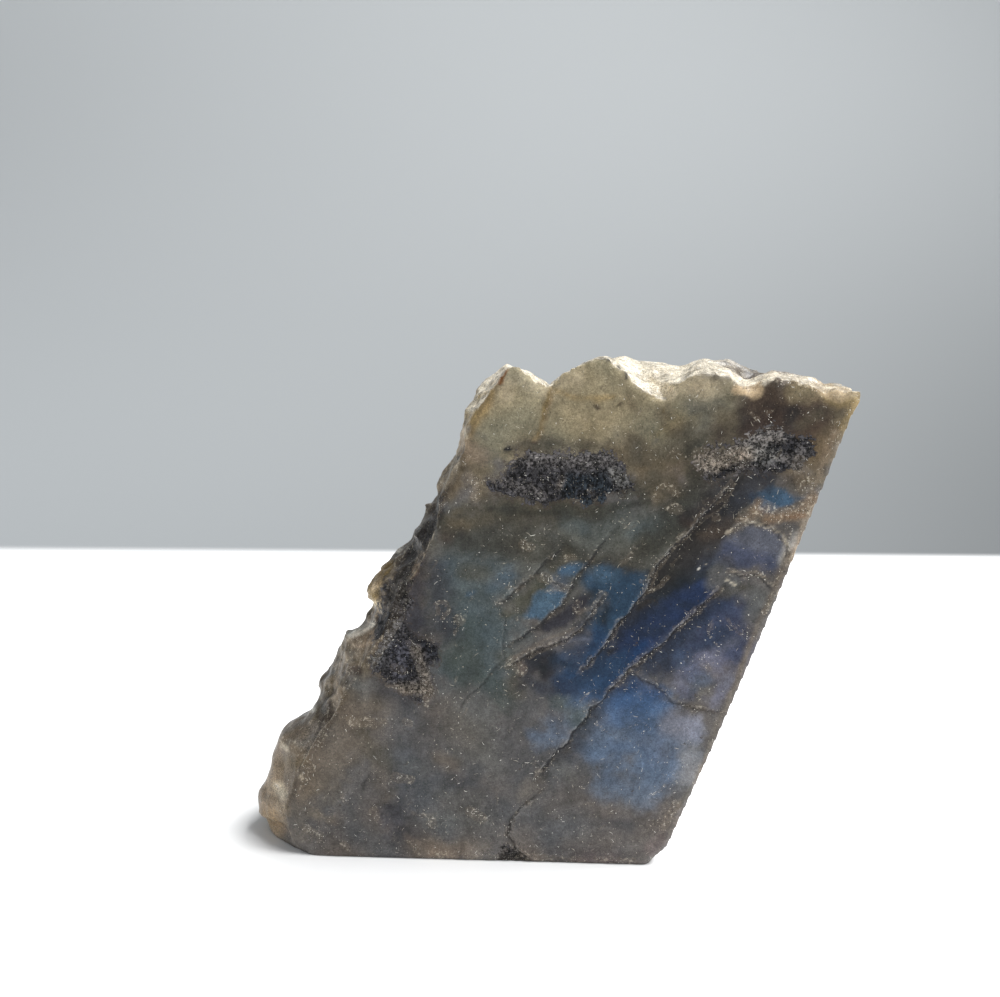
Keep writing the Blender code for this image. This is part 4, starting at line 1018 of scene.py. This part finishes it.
# Crusts that lie over all the rest.
crustTints = (
    ("coalBrown", 0.2, 0.35, 0.95, [(8.8, 70.2), (9.3, 69.9)]),
    ("coalBrown", 0.2, 0.35, 0.95, [(9.8, 69.4), (10.3, 68.9)]),
    ("coalBrown", 0.14, 0.3, 0.9, [(10.9, 68.3), (11.0, 67.4)]),
    ("umberDark", 0.14, 0.26, 0.8, [(7.0, 64.5), (7.2, 64.4)]),
    ("umberDark", 0.14, 0.26, 0.8, [(8.3, 64.1), (8.6, 64.2)]),
    ("umberDark", 0.14, 0.26, 0.8, [(9.6, 64.5), (10.0, 64.8)]),
    ("umberDark", 0.5, 0.6, 0.8, [(-24.8, 28.2), (-24.2, 27.8)]),
    ("coalBrown", 0.3, 0.6, 0.75, [(26.4, 56.2), (24.8, 54.6), (22.2, 51.0), (19.0, 47.1), (16.1, 43.4),
                                   (14.2, 39.4)]),
    ("iron", 0.12, 0.4, 0.45, [(28.4, 51.0), (30.6, 50.2), (33.6, 50.6)]),
    ("umber", 0.15, 0.4, 0.55, [(30.4, 51.2), (33.0, 52.0)]),
    ("chipCream", 0.9, 0.8, 0.9, [(14.2, 67.6), (16.2, 66.4)]),
    ("chipHoney", 0.7, 0.4, 1.0, [(25.0, 66.7), (27.4, 66.7)]),
    ("chipHoney", 0.8, 1.2, 0.8, [(34.6, 66.6), (39.0, 66.0)]),
    ("milk", 0.12, 0.14, 1.0, [(20.8, 43.3), (20.86, 43.3)]),
    ("cream", 0.12, 0.3, 0.9, [(24.6, 41.6), (25.6, 41.0)]),
    ("oliveBrown", 0.1, 0.25, 0.7, [(1.9, 66.6), (0.9, 64.0), (0.6, 62.4), (-0.2, 60.6)]),
    ("oliveBrown", 0.12, 0.35, 0.6, [(12.8, 68.0), (14.0, 66.2), (15.6, 63.6)]),
    ("sandFrost", 0.12, 0.3, 0.9, [(24.4, 48.4), (26.4, 49.4), (29.2, 49.0), (31.2, 47.8), (32.0, 46.2)]),
    ("sandFrost", 0.1, 0.3, 0.8, [(25.2, 43.0), (28.4, 42.6), (30.6, 40.8)]),
)


def patchReach(points):
    # 0.5 on the edge of a granular patch, 1 well inside and 0 well outside
    across = points[:, [0, 2]] + wander(points, 2.2, 45.0) * 0.5
    reach = np.full(len(points), 9.0)
    for outline in patches.values():
        reach = np.minimum(reach, reachFrom(across, outline))
    return np.clip(0.5 - reach / 2.4, 0, 1)


def paint(tint, across, strokes, amount, breakup, lowerSides=None):
    for finish, half, soft, strength, route, *bounds in strokes:
        reach = reachFrom(across, route, half + soft * 1.2)
        share = strength * ease((half - reach) / soft + 0.5 + breakup) * amount
        for name in bounds:
            sign = -1 if name[0] == "-" else 1
            share = share * ease(sign * lowerSides[name.strip("-")] / 0.3 + 0.5)
        tint += (albedo(finish) - tint) * share[:, None]


def crackLines(points, onFront):
    # how far each point lies from its nearest crack, negative on the upper side, how much crack
    # there is there, and how dark its lower side is
    across = crackPlaces(points)
    nearest = np.full(len(points), 3.0)
    here = np.zeros(len(points))
    dark = np.zeros(len(points))
    for crack in cracks.values():
        route = crack["route"]
        lower = beside(across, crack)
        ends = np.min([np.hypot(*(across - np.array(end)).T) for end in (route[0], route[-1])], axis=0)
        closer = np.abs(lower) < np.abs(nearest)
        nearest = np.where(closer, lower, nearest)
        here = np.where(closer, ease(ends / 1.2) * crack["mark"], here)
        if crack["dark"]:
            fade = np.clip(1 - lower / crack["dark"], 0, 1) ** 1.3 * ease(lower / 0.25 + 0.5)
            dark = np.maximum(dark, fade * ease(ends / 2 + 0.3))
    return nearest, here * onFront, dark * onFront


def paintStone(stone):
    # works out the tint of every point and where its patches and cracks are
    mesh = stone.data
    points = readPoints(mesh)
    normals = readNormals(mesh)
    behind = behindFront(points)
    drift = asSeen(points)              # the zones lean as they run back through the stone
    middle = wander(drift, 1.9, 43.0)
    small = wander(drift, 0.7, 47.0)
    place = drift[:, [0, 2]] + wander(drift, 6.0, 41.0) * 0.5 + middle * 0.4 + small * 0.14
    place += wander(points, 7.0, 49.0) * (0.14 * np.clip(behind - 2, 0, 30))[:, None]
    onFront = frontField(points, normals)
    broken = brokenShare(points, normals)
    nearFront = 1 - ease((behind - 6) / 9)
    breakup = noiseAt(drift, 1.5, 51.0) * 0.24 + noiseAt(drift, 0.6, 52.0) * 0.14
    everywhere = np.ones(len(points))

    side, here, dark = crackLines(points, onFront)
    lowerSides = {name: beside(crackPlaces(points), crack) for name, crack in cracks.items()}
    tint = np.zeros((len(points), 3))
    paint(tint, place, deepTints, everywhere, breakup)
    paint(tint, place, backTints, 1 - nearFront, breakup)
    paint(tint, place, frontTints, nearFront, breakup, lowerSides)

    streaks = noiseAt(alongCleavage(points), 1.1, 55.0, (1, 1, 3.2)) * 0.12
    for size, seed, strength in ((3.2, 57.0, 0.14), (1.2, 58.0, 0.12), (0.6, 60.0, 0.10)):
        streaks += noiseAt(points, size, seed) * strength
    tint *= (1 + streaks)[:, None]
    warmth = noiseAt(points, 4.2, 59.0) * 0.08
    tint *= np.stack([1 + warmth, everywhere, 1 - warmth], axis=1)
    tint += (albedo("coalBrown") * 0.5 + tint * 0.25 - tint) * (dark * 0.85)[:, None]

    # the broken top is pale and streaky, with grey crumbs to its right
    up = ease((normals[:, 2] - 0.2) / 0.5)
    top = broken * up * ease((points[:, 2] - 58) / 6)
    streaky = noiseAt(points, 0.8, 53.0, (5, 1, 1)) * 0.5 + noiseAt(points, 2.4, 54.0, (2, 1, 1)) * 0.4
    grey = ease((points[:, 0] - 21) / 5) * ease((behind - 4) / 6)
    tint += (albedo("breakCream") - tint) * (top * ease(1.0 - 0.8 * grey + streaky * 0.8) * 0.92)[:, None]
    tint += (albedo("breakGrey") - tint) * (top * grey * ease(0.5 + streaky) * 0.8)[:, None]
    crisp = noiseAt(points, 0.42, 62.0, (3, 1, 1)) + noiseAt(points, 1.1, 66.0, (3, 1, 1)) * 0.8
    tint *= (1 + top * np.clip(crisp * (0.5 + 0.4 * grey) - 0.04, -0.65, 0.5))[:, None]
    # painted highlight: up-facing broken ledges below the top are lightened towards frost, as if lit from
    # above
    litLedges = broken * up * (1 - ease((points[:, 2] - 58) / 6)) * ease(noiseAt(points, 2.0, 56.0) + 0.2)
    tint += (albedo("frost") - tint) * (litLedges * 0.5)[:, None]
    bulge = edgeBulge(mesh, points, normals)
    # raised broken edges lightened towards sandFrost: partly frosted wear, partly painted light coming
    # through the thin ridges
    edge = np.clip(bulge, 0, 1) * broken
    tint += (albedo("sandFrost") - tint) * (edge * (0.25 + 0.25 * nearFront))[:, None]
    # painted shade: hollows of the broken surfaces are darkened; on the unbroken surfaces raised places are
    # painted lighter and hollows darker
    tint *= (1 + 0.45 * np.clip(bulge, -1, 0) * broken + 0.25 * np.clip(bulge, -1, 1) * (1 - broken))[:, None]
    paint(tint, place, crustTints, nearFront, breakup * 3)
    # painted light and shade: the tint is lightened where the soft light falls weakly and darkened where it
    # falls strongly
    tint /= paintedLightShare(points, normals, broken)[:, None]

    patchTint = np.zeros((len(points), 3))
    paint(patchTint, place, patchTints, everywhere, breakup)
    patch = patchReach(drift) * (1 - ease((behind - 5) / 6))
    writeColour(mesh, "tint", tint)
    writeColour(mesh, "patchTint", patchTint)
    writeNumber(mesh, "patch", patch)
    writeNumber(mesh, "crackSide", side)
    writeNumber(mesh, "crackHere", here)
    writeNumber(mesh, "broken", broken)
    shown = np.maximum(onFront, nearFront * broken)
    crumb = crumbField(drift, crackPlaces(drift)) * (0.4 + 0.6 * shown)
    crust = 0.42 * ease(noiseAt(drift, 1.7, 67.0) * 1.6 + 0.3) * broken * nearFront
    crust *= (1 - lumpShare(points)) * (1 - ease(patch * 4 - 1))
    writeNumber(mesh, "crumb", np.maximum(crumb, crust))
    return tint + (patchTint - tint) * ease(patch * 6 - 2.5)[:, None]


def paintedLightShare(points, normals, broken):
    # painted light and shade: the tint is divided by how the soft light falls on each side, so that the
    # finishes look there as they are given; the shaded broken left side is painted lighter, less so on the
    # lump, the up-facing broken top darker and the unbroken surfaces lighter low down
    left = broken * ease((-normals[:, 0] - 0.1) / 0.5) * (0.36 - 0.30 * lumpShare(points))
    up = broken * ease((normals[:, 2] - 0.2) / 0.6) * 0.62
    low = 0.22 * (1 - ease((points[:, 2] + 1) / 16))
    return 1 - left + up - low * (1 - broken)


def edgeBulge(mesh, points, normals):
    # above 0 on raised edges and below 0 in hollows
    lean = ((points - neighbourMean(mesh, points)) * normals).sum(axis=1)
    return np.clip(spread(mesh, lean, 2) / 0.05, -1, 1)


def writeColour(mesh, name, values):
    layer = mesh.attributes.new(name, "FLOAT_COLOR", "POINT")
    full = np.concatenate([np.clip(values, 0, 1), np.ones((len(values), 1))], axis=1)
    layer.data.foreach_set("color", full.ravel())


def writeNumber(mesh, name, values):
    layer = mesh.attributes.new(name, "FLOAT", "POINT")
    layer.data.foreach_set("value", values)


# The stone's finish. cloud, grain, fine, lumps, speck and bits are the steps of its noises, mm.
stoneLook = {
    "cloud": 1.4,
    "grain": 0.36,
    "fine": 0.17,
    "lumps": 0.9,
    "speck": 0.34,
    "bits": 0.42,
    "roughSawn": 0.62,
    "roughBroken": 0.45,
    "glossLevel": 0.10,
    "sheenOnBreak": 0.25,    # how much of a glassy coat the broken surfaces have
    "coatRoughness": 0.28,
    "innerGlow": 0.16,       # light that goes through the feldspar
    "innerReach": 1.2,       # mm
    "bump": 0.35,
    "bumpReach": 0.12,       # mm
}


class Nodes:
    # a short way to add and join shader nodes
    def __init__(self, name):
        self.material = bpy.data.materials.new(name)
        self.material.use_nodes = True
        self.tree = self.material.node_tree
        self.shader = self.tree.nodes["Principled BSDF"]
        self.place = self.add("ShaderNodeTexCoord").outputs["Object"]

    def add(self, kind, **settings):
        node = self.tree.nodes.new(kind)
        for key, value in settings.items():
            setattr(node, key, value)
        return node

    def join(self, source, socket):
        if isinstance(source, (int, float, tuple)):
            socket.default_value = source
        else:
            self.tree.links.new(source, socket)

    def math(self, operation, first, second=0.0, clamp=False):
        node = self.add("ShaderNodeMath", operation=operation, use_clamp=clamp)
        self.join(first, node.inputs[0])
        self.join(second, node.inputs[1])
        return node.outputs[0]

    def plus(self, first, *others):
        for other in others:
            first = self.math("ADD", first, other)
        return first

    def times(self, first, *others):
        for other in others:
            first = self.math("MULTIPLY", first, other)
        return first

    def remap(self, value, low, high, toLow=0.0, toHigh=1.0):
        node = self.add("ShaderNodeMapRange", interpolation_type="SMOOTHSTEP")
        self.join(value, node.inputs["Value"])
        for name, number in zip(("From Min", "From Max", "To Min", "To Max"), (low, high, toLow, toHigh)):
            node.inputs[name].default_value = number
        return node.outputs[0]

    def centred(self, value, scale):
        return self.times(self.math("SUBTRACT", value, 0.5), scale)

    def nearZero(self, value, low, high):
        # 1 where the value is within low of zero on either side, down to 0 at high
        return self.remap(self.math("ABSOLUTE", value), low, high, 1.0, 0.0)

    def noise(self, size, detail=2.0, distortion=0.0, seed=0.0):
        node = self.add("ShaderNodeTexNoise", noise_dimensions="4D")
        self.join(self.place, node.inputs["Vector"])
        node.inputs["W"].default_value = seed
        node.inputs["Scale"].default_value = 1 / (size * mm)
        node.inputs["Detail"].default_value = detail
        node.inputs["Distortion"].default_value = distortion
        return node.outputs["Fac"]

    def cells(self, size):
        node = self.add("ShaderNodeTexVoronoi")
        self.join(self.place, node.inputs["Vector"])
        node.inputs["Scale"].default_value = 1 / (size * mm)
        return node

    def hairs(self, size, width, keep, seed):
        # short curved lines: the middle line of one noise, broken up by another
        line = self.math("SUBTRACT", self.noise(size, 1.0, 0.6, seed), 0.5)
        return self.times(self.nearZero(line, 0.0, width),
                          self.remap(self.noise(size * 0.7, 0.0, 0.0, seed + 5), keep, keep + 0.04))

    def attribute(self, name):
        return self.add("ShaderNodeAttribute", attribute_name=name)

    def mix(self, share, first, second, blend="MIX"):
        node = self.add("ShaderNodeMix", data_type="RGBA", blend_type=blend)
        self.join(share, node.inputs[0])
        self.join(first, node.inputs[6])
        self.join(second, node.inputs[7])
        return node.outputs[2]

    def scaled(self, colour, factor):
        grey = self.add("ShaderNodeCombineColor")
        for socket in grey.inputs:
            self.join(factor, socket)
        return self.mix(1.0, colour, grey.outputs[0], "MULTIPLY")


def stoneMaterial():
    nodes = Nodes("labradorite_skin")
    shader = nodes.shader
    tint = nodes.attribute("tint").outputs["Color"]
    patchTint = nodes.attribute("patchTint").outputs["Color"]
    patch = nodes.attribute("patch").outputs["Fac"]
    side = nodes.attribute("crackSide").outputs["Fac"]
    here = nodes.attribute("crackHere").outputs["Fac"]
    broken = nodes.attribute("broken").outputs["Fac"]
    crumb = nodes.attribute("crumb").outputs["Fac"]
    cloud = nodes.noise(stoneLook["cloud"], 3.0, 0.3, 1.0)
    grain = nodes.noise(stoneLook["grain"], 2.0, 0.0, 2.0)
    fine = nodes.noise(stoneLook["fine"], 1.0, 0.0, 6.0)
    lumps = nodes.noise(stoneLook["lumps"], 2.0, 0.5, 4.0)
    speck = nodes.noise(stoneLook["speck"], 2.0, 0.6, 3.0)
    bits = nodes.noise(stoneLook["bits"], 2.0, 0.4, 13.0)

    # the clear feldspar: soft clouds, a fine grain, pale hairs and dark pinholes
    frost = nodes.math("MULTIPLY", nodes.remap(fine, 0.35, 0.65, -0.22, 0.22), broken)
    shade = nodes.times(nodes.remap(cloud, 0.25, 0.75, 0.86, 1.14),
                        nodes.remap(grain, 0.3, 0.7, 0.86, 1.14),
                        nodes.plus(nodes.remap(fine, 0.3, 0.7, 0.84, 1.16), frost))
    colour = nodes.scaled(tint, shade)
    pale = nodes.times(nodes.hairs(1.0, 0.022, 0.60, 7.0), 0.38)
    colour = nodes.mix(pale, colour, nodes.scaled(tint, 2.2))
    hole = nodes.cells(0.95)
    dot = nodes.remap(hole.outputs["Distance"], 0.07, 0.13, 0.6, 0.0)
    colour = nodes.mix(dot, colour, nodes.scaled(tint, 0.35))

    # the granular patches: dark lumps and light wormy hairs, with a ragged edge
    ragged = nodes.plus(patch, nodes.centred(lumps, 1.3), nodes.centred(speck, 0.9))
    patchEdge = nodes.remap(ragged, 0.44, 0.56)
    patchShade = nodes.times(nodes.remap(speck, 0.40, 0.63, 0.22, 2.3),
                             nodes.remap(lumps, 0.35, 0.65, 0.55, 1.5))
    patchColour = nodes.scaled(patchTint, patchShade)
    worms = nodes.hairs(0.5, 0.04, 0.50, 11.0)
    patchColour = nodes.mix(nodes.times(worms, 0.5), patchColour, nodes.scaled(patchTint, 2.8))
    rim = nodes.times(nodes.remap(ragged, 0.30, 0.46), nodes.remap(speck, 0.40, 0.60, 0.15, 0.75))
    colour = nodes.mix(rim, colour, (*albedo("umber"), 1))
    colour = nodes.mix(patchEdge, colour, patchColour)

    # crumbly places: light and dark bits
    crumbly = nodes.remap(nodes.plus(crumb, nodes.centred(lumps, 1.0)), 0.30, 0.60)
    crumbly = nodes.times(crumbly, nodes.remap(patchEdge, 0.0, 1.0, 1.0, 0.35))
    atCrack = nodes.times(nodes.nearZero(side, 0.3, 0.9), here)
    darkBits = nodes.times(crumbly, nodes.remap(bits, 0.45, 0.38, 0.0, 0.75),
                           nodes.plus(nodes.times(atCrack, 0.55), 0.45))
    lightBits = nodes.times(crumbly, nodes.remap(bits, 0.56, 0.66, 0.0, 0.8),
                            nodes.math("SUBTRACT", 1.0, nodes.times(atCrack, 0.4)))
    crumbTint = nodes.mix(0.4, nodes.scaled(tint, 1.3), (*albedo("tan"), 1))
    colour = nodes.mix(nodes.times(crumbly, 0.45), colour, crumbTint)
    colour = nodes.mix(darkBits, colour, nodes.scaled(tint, 0.3))
    colour = nodes.mix(lightBits, colour, nodes.mix(0.55, nodes.scaled(tint, 1.9), (*albedo("cream"), 1)))

    # the cracks: a fine dark line with a paler lip on its upper side
    shifted = nodes.plus(side, nodes.centred(grain, 0.8), nodes.centred(lumps, 0.6))
    line = nodes.times(nodes.nearZero(nodes.math("SUBTRACT", shifted, 0.12), 0.05, 0.26),
                       here, nodes.remap(cloud, 0.35, 0.6, 0.3, 0.95))
    lip = nodes.times(nodes.nearZero(nodes.plus(shifted, 0.14), 0.02, 0.16),
                      here, nodes.remap(nodes.noise(0.8, 1.0, 0.0, 9.0), 0.45, 0.60, 0.0, 0.6))
    colour = nodes.mix(line, colour, (*albedo("coal"), 1))
    colour = nodes.mix(lip, colour, nodes.mix(0.5, nodes.scaled(tint, 1.6), (*albedo("frost"), 1)))
    nodes.join(colour, shader.inputs["Base Color"])

    rough = nodes.mix(broken, (stoneLook["roughSawn"],) * 3 + (1,), (stoneLook["roughBroken"],) * 3 + (1,))
    nodes.join(rough, shader.inputs["Roughness"])
    shader.inputs["Specular IOR Level"].default_value = stoneLook["glossLevel"]
    nodes.join(nodes.times(broken, stoneLook["sheenOnBreak"]), shader.inputs["Coat Weight"])
    shader.inputs["Coat Roughness"].default_value = stoneLook["coatRoughness"]
    shader.inputs["Subsurface Weight"].default_value = stoneLook["innerGlow"]
    shader.inputs["Subsurface Radius"].default_value = (1.0, 0.85, 0.6)
    shader.inputs["Subsurface Scale"].default_value = stoneLook["innerReach"] * mm
    height = nodes.times(grain, nodes.plus(nodes.times(broken, 0.6), 0.3))
    height = nodes.plus(height, nodes.times(patchEdge, speck, 3.0), nodes.times(crumbly, bits, 2.0),
                        nodes.times(broken, fine, 0.5))
    bump = nodes.add("ShaderNodeBump")
    bump.inputs["Strength"].default_value = stoneLook["bump"]
    bump.inputs["Distance"].default_value = stoneLook["bumpReach"] * mm
    nodes.join(height, bump.inputs["Height"])
    nodes.join(bump.outputs["Normal"], shader.inputs["Normal"])
    return nodes.material


def makeStone():
    stone = copyOfNode()
    evenMesh(stone)
    print("stone: even mesh of", len(stone.data.polygons), "faces")
    squareCorners(stone)
    relaxPlaces(stone)
    nudgeOutline(stone)
    breakUp(stone)
    carveFront(stone)
    tint = paintStone(stone)
    stone.data.materials.append(stoneMaterial())
    makeActive(stone)
    bpy.ops.object.shade_smooth_by_angle(angle=math.radians(stoneMake["smoothAngle"]))
    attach(stone, "root")
    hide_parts(nodeName)
    print("stone: finished with", sum(len(face.vertices) - 2 for face in stone.data.polygons), "triangles")
    return stone, tint


# The flecks: small bent splinters that catch the light.
fleckMake = {
    "onFront": 9000,
    "elsewhere": 5200,
    "hair": (0.35, 0.85),
    "dot": (0.10, 0.30),
    "width": (0.05, 0.11),
    "hairs": 0.24,           # share of hairs, the rest are dots
    "bend": 0.9,
    "darkShare": 0.15,       # share of dark ones, at least
    "milkFrom": 0.905,       # above this share they are milky
    "rough": 0.35,
    "gloss": 0.3,
    "seed": 7,
}


def fleckShape():
    # a splinter one unit long, thin and bent
    bpy.ops.mesh.primitive_uv_sphere_add(segments=3, ring_count=3, radius=0.5,
                                         rotation=(0, math.radians(90), 0))
    shape = bpy.context.object
    bpy.ops.object.transform_apply(location=True, rotation=True, scale=True)
    points = np.array([vert.co for vert in shape.data.vertices])
    faces = [tuple(face.vertices) for face in shape.data.polygons]
    bpy.data.objects.remove(shape)
    return points, faces


def fleckDensity(points):
    # how many splinters lie at each place, and the way they tend to lie
    across = crackPlaces(points)
    heading = np.full(len(points), math.radians(cleavageAngle))
    aligned = np.zeros(len(points))
    for crack in cracks.values():
        distance, _, runs = alongRoute(across, crack["route"])
        close = ease(1 - distance / 0.4) * crack["crumbs"]
        heading = np.where(close > 0.2, runs, heading)
        aligned = np.maximum(aligned, close)
    density = 0.35 + 0.9 * ease(noiseAt(points, 2.4, 61.0) * 1.8)
    density += 7.5 * crumbField(points, across)
    density += 2.4 * ease(patchReach(points) * 4 - 1.5)
    density += 0.4 * ease((12 - points[:, 2]) / 8)
    return density, heading, aligned


# Where the splinters are painted milk white, as painted glints: x, z and reach.
glints = ((22.0, 31.6, 2.2), (25.4, 44.0, 0.5), (28.4, 42.4, 1.2), (31.6, 47.4, 1.4), (0.6, 41.8, 1.0),
          (-16.9, 13.4, 0.8), (-1.4, 45.8, 0.8), (3.6, 34.8, 1.0), (17.4, 20.0, 0.6), (33.4, 59.2, 0.5),
          (15.8, 53.6, 1.0), (2.4, 7.6, 1.0), (-5.6, 7.2, 1.0), (30.6, 53.0, 0.4))


def glintShare(points):
    share = np.zeros(len(points))
    for x, z, reach in glints:
        distance = np.hypot(points[:, 0] - x, points[:, 2] - z)
        share = np.maximum(share, ease(1.4 - distance / reach))
    return share


def makeFlecks(stone, tint):
    deselectAll()
    draw = random.Random(fleckMake["seed"])
    mesh = stone.data
    shape, faces = fleckShape()
    centres = np.array([face.center for face in mesh.polygons]) / mm
    normals = np.array([face.normal for face in mesh.polygons])
    areas = np.array([face.area for face in mesh.polygons]) / mm ** 2
    firstCorner = [face.vertices[0] for face in mesh.polygons]
    onFront = frontField(centres, normals) > 0.5
    seen = asSeen(centres)
    near = 1 - ease((behindFront(centres) - 6) / 9)
    density, heading, aligned = fleckDensity(seen)
    top = near * (normals[:, 2] > 0.4) * (centres[:, 2] > stoneMake["topFrom"])
    beyond = (0.2 + 2.4 * near + 4.0 * top) * (1 + 0.5 * density * near) * ~onFront * (centres[:, 2] > 0.8)
    patch = ease(patchReach(seen) * 4 - 1.5) * near
    crumbly = crumbField(seen, crackPlaces(seen)) * near
    shining = glintShare(centres) * onFront
    # painted light and shade on the splinters: the dark ones are painted shadows, more of them in crumbly
    # places, by cracks and on the top, and the milk white ones painted glints, more of them at the glints,
    # by cracks and in crumbly places
    darkTo = fleckMake["darkShare"] + 0.15 * crumbly + 0.1 * aligned + 0.2 * top
    milkFrom = fleckMake["milkFrom"] - 0.3 * shining - 0.12 * aligned - 0.06 * crumbly
    tan = albedo("tan")
    cream = albedo("cream")
    milk = albedo("milk")
    placedPoints = []
    placedFaces = []
    placedTints = []
    for count, weights in ((fleckMake["onFront"], density * areas * onFront),
                           (fleckMake["elsewhere"], areas * beyond)):
        total = list(np.cumsum(weights))
        for index in draw.choices(range(len(centres)), cum_weights=total, k=count):
            hairs = fleckMake["hairs"] * (1 - 0.6 * crumbly[index])
            least, most = fleckMake["hair" if draw.random() < hairs else "dot"]
            length = least + (most - least) * draw.random() ** 1.6
            length *= 1 - 0.35 * max(crumbly[index], patch[index])
            width = draw.uniform(*fleckMake["width"]) * (1.25 if length < 0.35 else 0.9)
            angle = heading[index] + draw.gauss(0, 0.5 if aligned[index] > 0.2 else 1.3)
            normal = Vector(normals[index])
            flat = normal.to_track_quat("Z", "Y").to_matrix()
            spin = Matrix.Rotation(angle, 3, "Z")
            splinter = shape * np.array((length, width, width * 0.55))
            splinter[:, 1] += draw.uniform(-1, 1) * fleckMake["bend"] * splinter[:, 0] ** 2 / length
            placed = splinter @ np.array(flat @ spin).T
            offset = len(placedPoints) * len(shape)
            placedPoints.append(placed + centres[index])
            placedFaces += [tuple(corner + offset for corner in face) for face in faces]
            ground = tint[firstCorner[index]]
            # a dark splinter is a painted shadow and a milk white one a painted glint; the rest take the
            # ground's colour brightened towards tan, and towards cream for the brighter ones, partly real
            # pale feldspar and partly painted sparkle
            bright = draw.random()
            if bright < darkTo[index]:
                colour = ground * 0.35
            elif bright > milkFrom[index]:
                colour = milk
            else:
                share = (0.1 + 0.9 * bright ** 2.2) * (1 - 0.3 * patch[index])
                colour = ground * (1.3 - share) + (cream if bright > 0.6 else tan) * share
            placedTints += [colour] * len(shape)
    points = np.clip(np.concatenate(placedPoints), stoneLow, stoneHigh)
    data = bpy.data.meshes.new("surface_flecks")
    data.from_pydata((points * mm).tolist(), [], placedFaces)
    flecks = bpy.data.objects.new("surface_flecks", data)
    bpy.context.scene.collection.objects.link(flecks)
    writeColour(data, "tint", np.array(placedTints))
    nodes = Nodes("feldspar_splinters")
    nodes.join(nodes.attribute("tint").outputs["Color"], nodes.shader.inputs["Base Color"])
    nodes.shader.inputs["Roughness"].default_value = fleckMake["rough"]
    nodes.shader.inputs["Specular IOR Level"].default_value = fleckMake["gloss"]
    data.materials.append(nodes.material)
    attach(flecks, "root")
    triangles = sum(len(face) - 2 for face in placedFaces)
    print("flecks:", len(placedPoints), "splinters,", triangles, "triangles")


# The table, the backdrop, the light and the camera.
setting = {
    "farEdge": 134,          # the table ends this far behind the middle of the stone, mm
    "fade": 10,
    "tableTurn": 2.0,        # degrees
    "tableSize": 3.0,        # metres
    "wallAt": 900,
    "wallSize": 8,
    "wall": (0.62, 0.645, 0.655),
    # painted shade on the backdrop: its colour darkens to the right, more so low down
    "wallFallLow": -0.60,    # the wall darkens to the right, more so low down
    "wallFallHigh": -0.09,
    "table": 0.86,
}
lamp = {"place": (0.36, 0.03, 0.62), "aim": (0, 0, 0.03), "size": 0.45, "energy": 13.0}
room = {"colour": (0.80, 0.83, 0.86, 1), "strength": 0.42}
view = {"place": (0.0, -148.8, 85.7), "down": 13.96, "turn": 2.0, "roll": 0.46, "lens": 39.25}


def plainMaterial(name, colour):
    nodes = Nodes(name)
    nodes.shader.inputs["Base Color"].default_value = (*colour, 1)
    nodes.shader.inputs["Roughness"].default_value = 0.9
    nodes.shader.inputs["Specular IOR Level"].default_value = 0.1
    return nodes


def makeStage():
    deselectAll()
    far = setting["farEdge"] * mm
    half = setting["fade"] * 0.5 * mm
    size = setting["tableSize"]
    bpy.ops.mesh.primitive_plane_add(size=size, location=(0, far + half - size / 2, 0))
    table = bpy.context.object
    table.name = "table"
    bpy.ops.object.transform_apply(location=True, rotation=True, scale=True)
    table.rotation_euler.z = math.radians(setting["tableTurn"])
    bpy.ops.object.transform_apply(location=True, rotation=True, scale=True)
    nodes = plainMaterial("white_table", (setting["table"],) * 3)
    turn = nodes.add("ShaderNodeVectorRotate", rotation_type="Z_AXIS")
    nodes.join(nodes.place, turn.inputs["Vector"])
    turn.inputs["Angle"].default_value = math.radians(-setting["tableTurn"])
    split = nodes.add("ShaderNodeSeparateXYZ")
    nodes.join(turn.outputs[0], split.inputs[0])
    shown = nodes.remap(split.outputs["Y"], far - half, far + half, 1.0, 0.0)
    nodes.join(shown, nodes.shader.inputs["Alpha"])
    table.data.materials.append(nodes.material)
    bpy.ops.mesh.primitive_plane_add(size=setting["wallSize"], location=(0, setting["wallAt"] * mm, 0),
                                     rotation=(math.radians(90), 0, 0))
    wall = bpy.context.object
    wall.name = "backdrop"
    bpy.ops.object.transform_apply(location=True, rotation=True, scale=True)
    nodes = plainMaterial("grey_wall", setting["wall"])
    split = nodes.add("ShaderNodeSeparateXYZ")
    nodes.join(nodes.place, split.inputs[0])
    # painted shade: the wall's colour darkens to the right, more so low down
    slope = nodes.remap(split.outputs["Z"], -0.18, 0.25, setting["wallFallLow"], setting["wallFallHigh"])
    shade = nodes.plus(nodes.times(split.outputs["X"], slope), 1.0)
    nodes.join(nodes.scaled((*setting["wall"], 1), shade), nodes.shader.inputs["Base Color"])
    wall.data.materials.append(nodes.material)


def makeLights():
    world = bpy.data.worlds.new("soft_room")
    bpy.context.scene.world = world
    world.use_nodes = True
    back = world.node_tree.nodes["Background"]
    back.inputs["Color"].default_value = room["colour"]
    back.inputs["Strength"].default_value = room["strength"]
    bpy.ops.object.light_add(type="AREA", location=lamp["place"])
    light = bpy.context.object
    light.name = "window_light"
    light.data.size = lamp["size"]
    light.data.energy = lamp["energy"]
    aim = Vector(lamp["aim"]) - light.location
    light.rotation_euler = aim.to_track_quat("-Z", "Y").to_euler()


def makeCamera():
    place = Vector(view["place"]) * mm
    turn = Euler((math.radians(90 - view["down"]), 0, math.radians(view["turn"]))).to_matrix()
    turn = turn @ Matrix.Rotation(math.radians(view["roll"]), 3, "Z")
    bpy.ops.object.camera_add(location=place, rotation=turn.to_euler())
    camera = bpy.context.object
    camera.data.lens = view["lens"]
    camera.data.sensor_width = 36
    camera.data.clip_start = 0.01
    bpy.context.scene.camera = camera


makeStage()
makeLights()
makeCamera()
print("stage, lights and camera: made")
stone, stoneTint = makeStone()
makeFlecks(stone, stoneTint)
bpy.context.scene.view_settings.view_transform = "Standard"
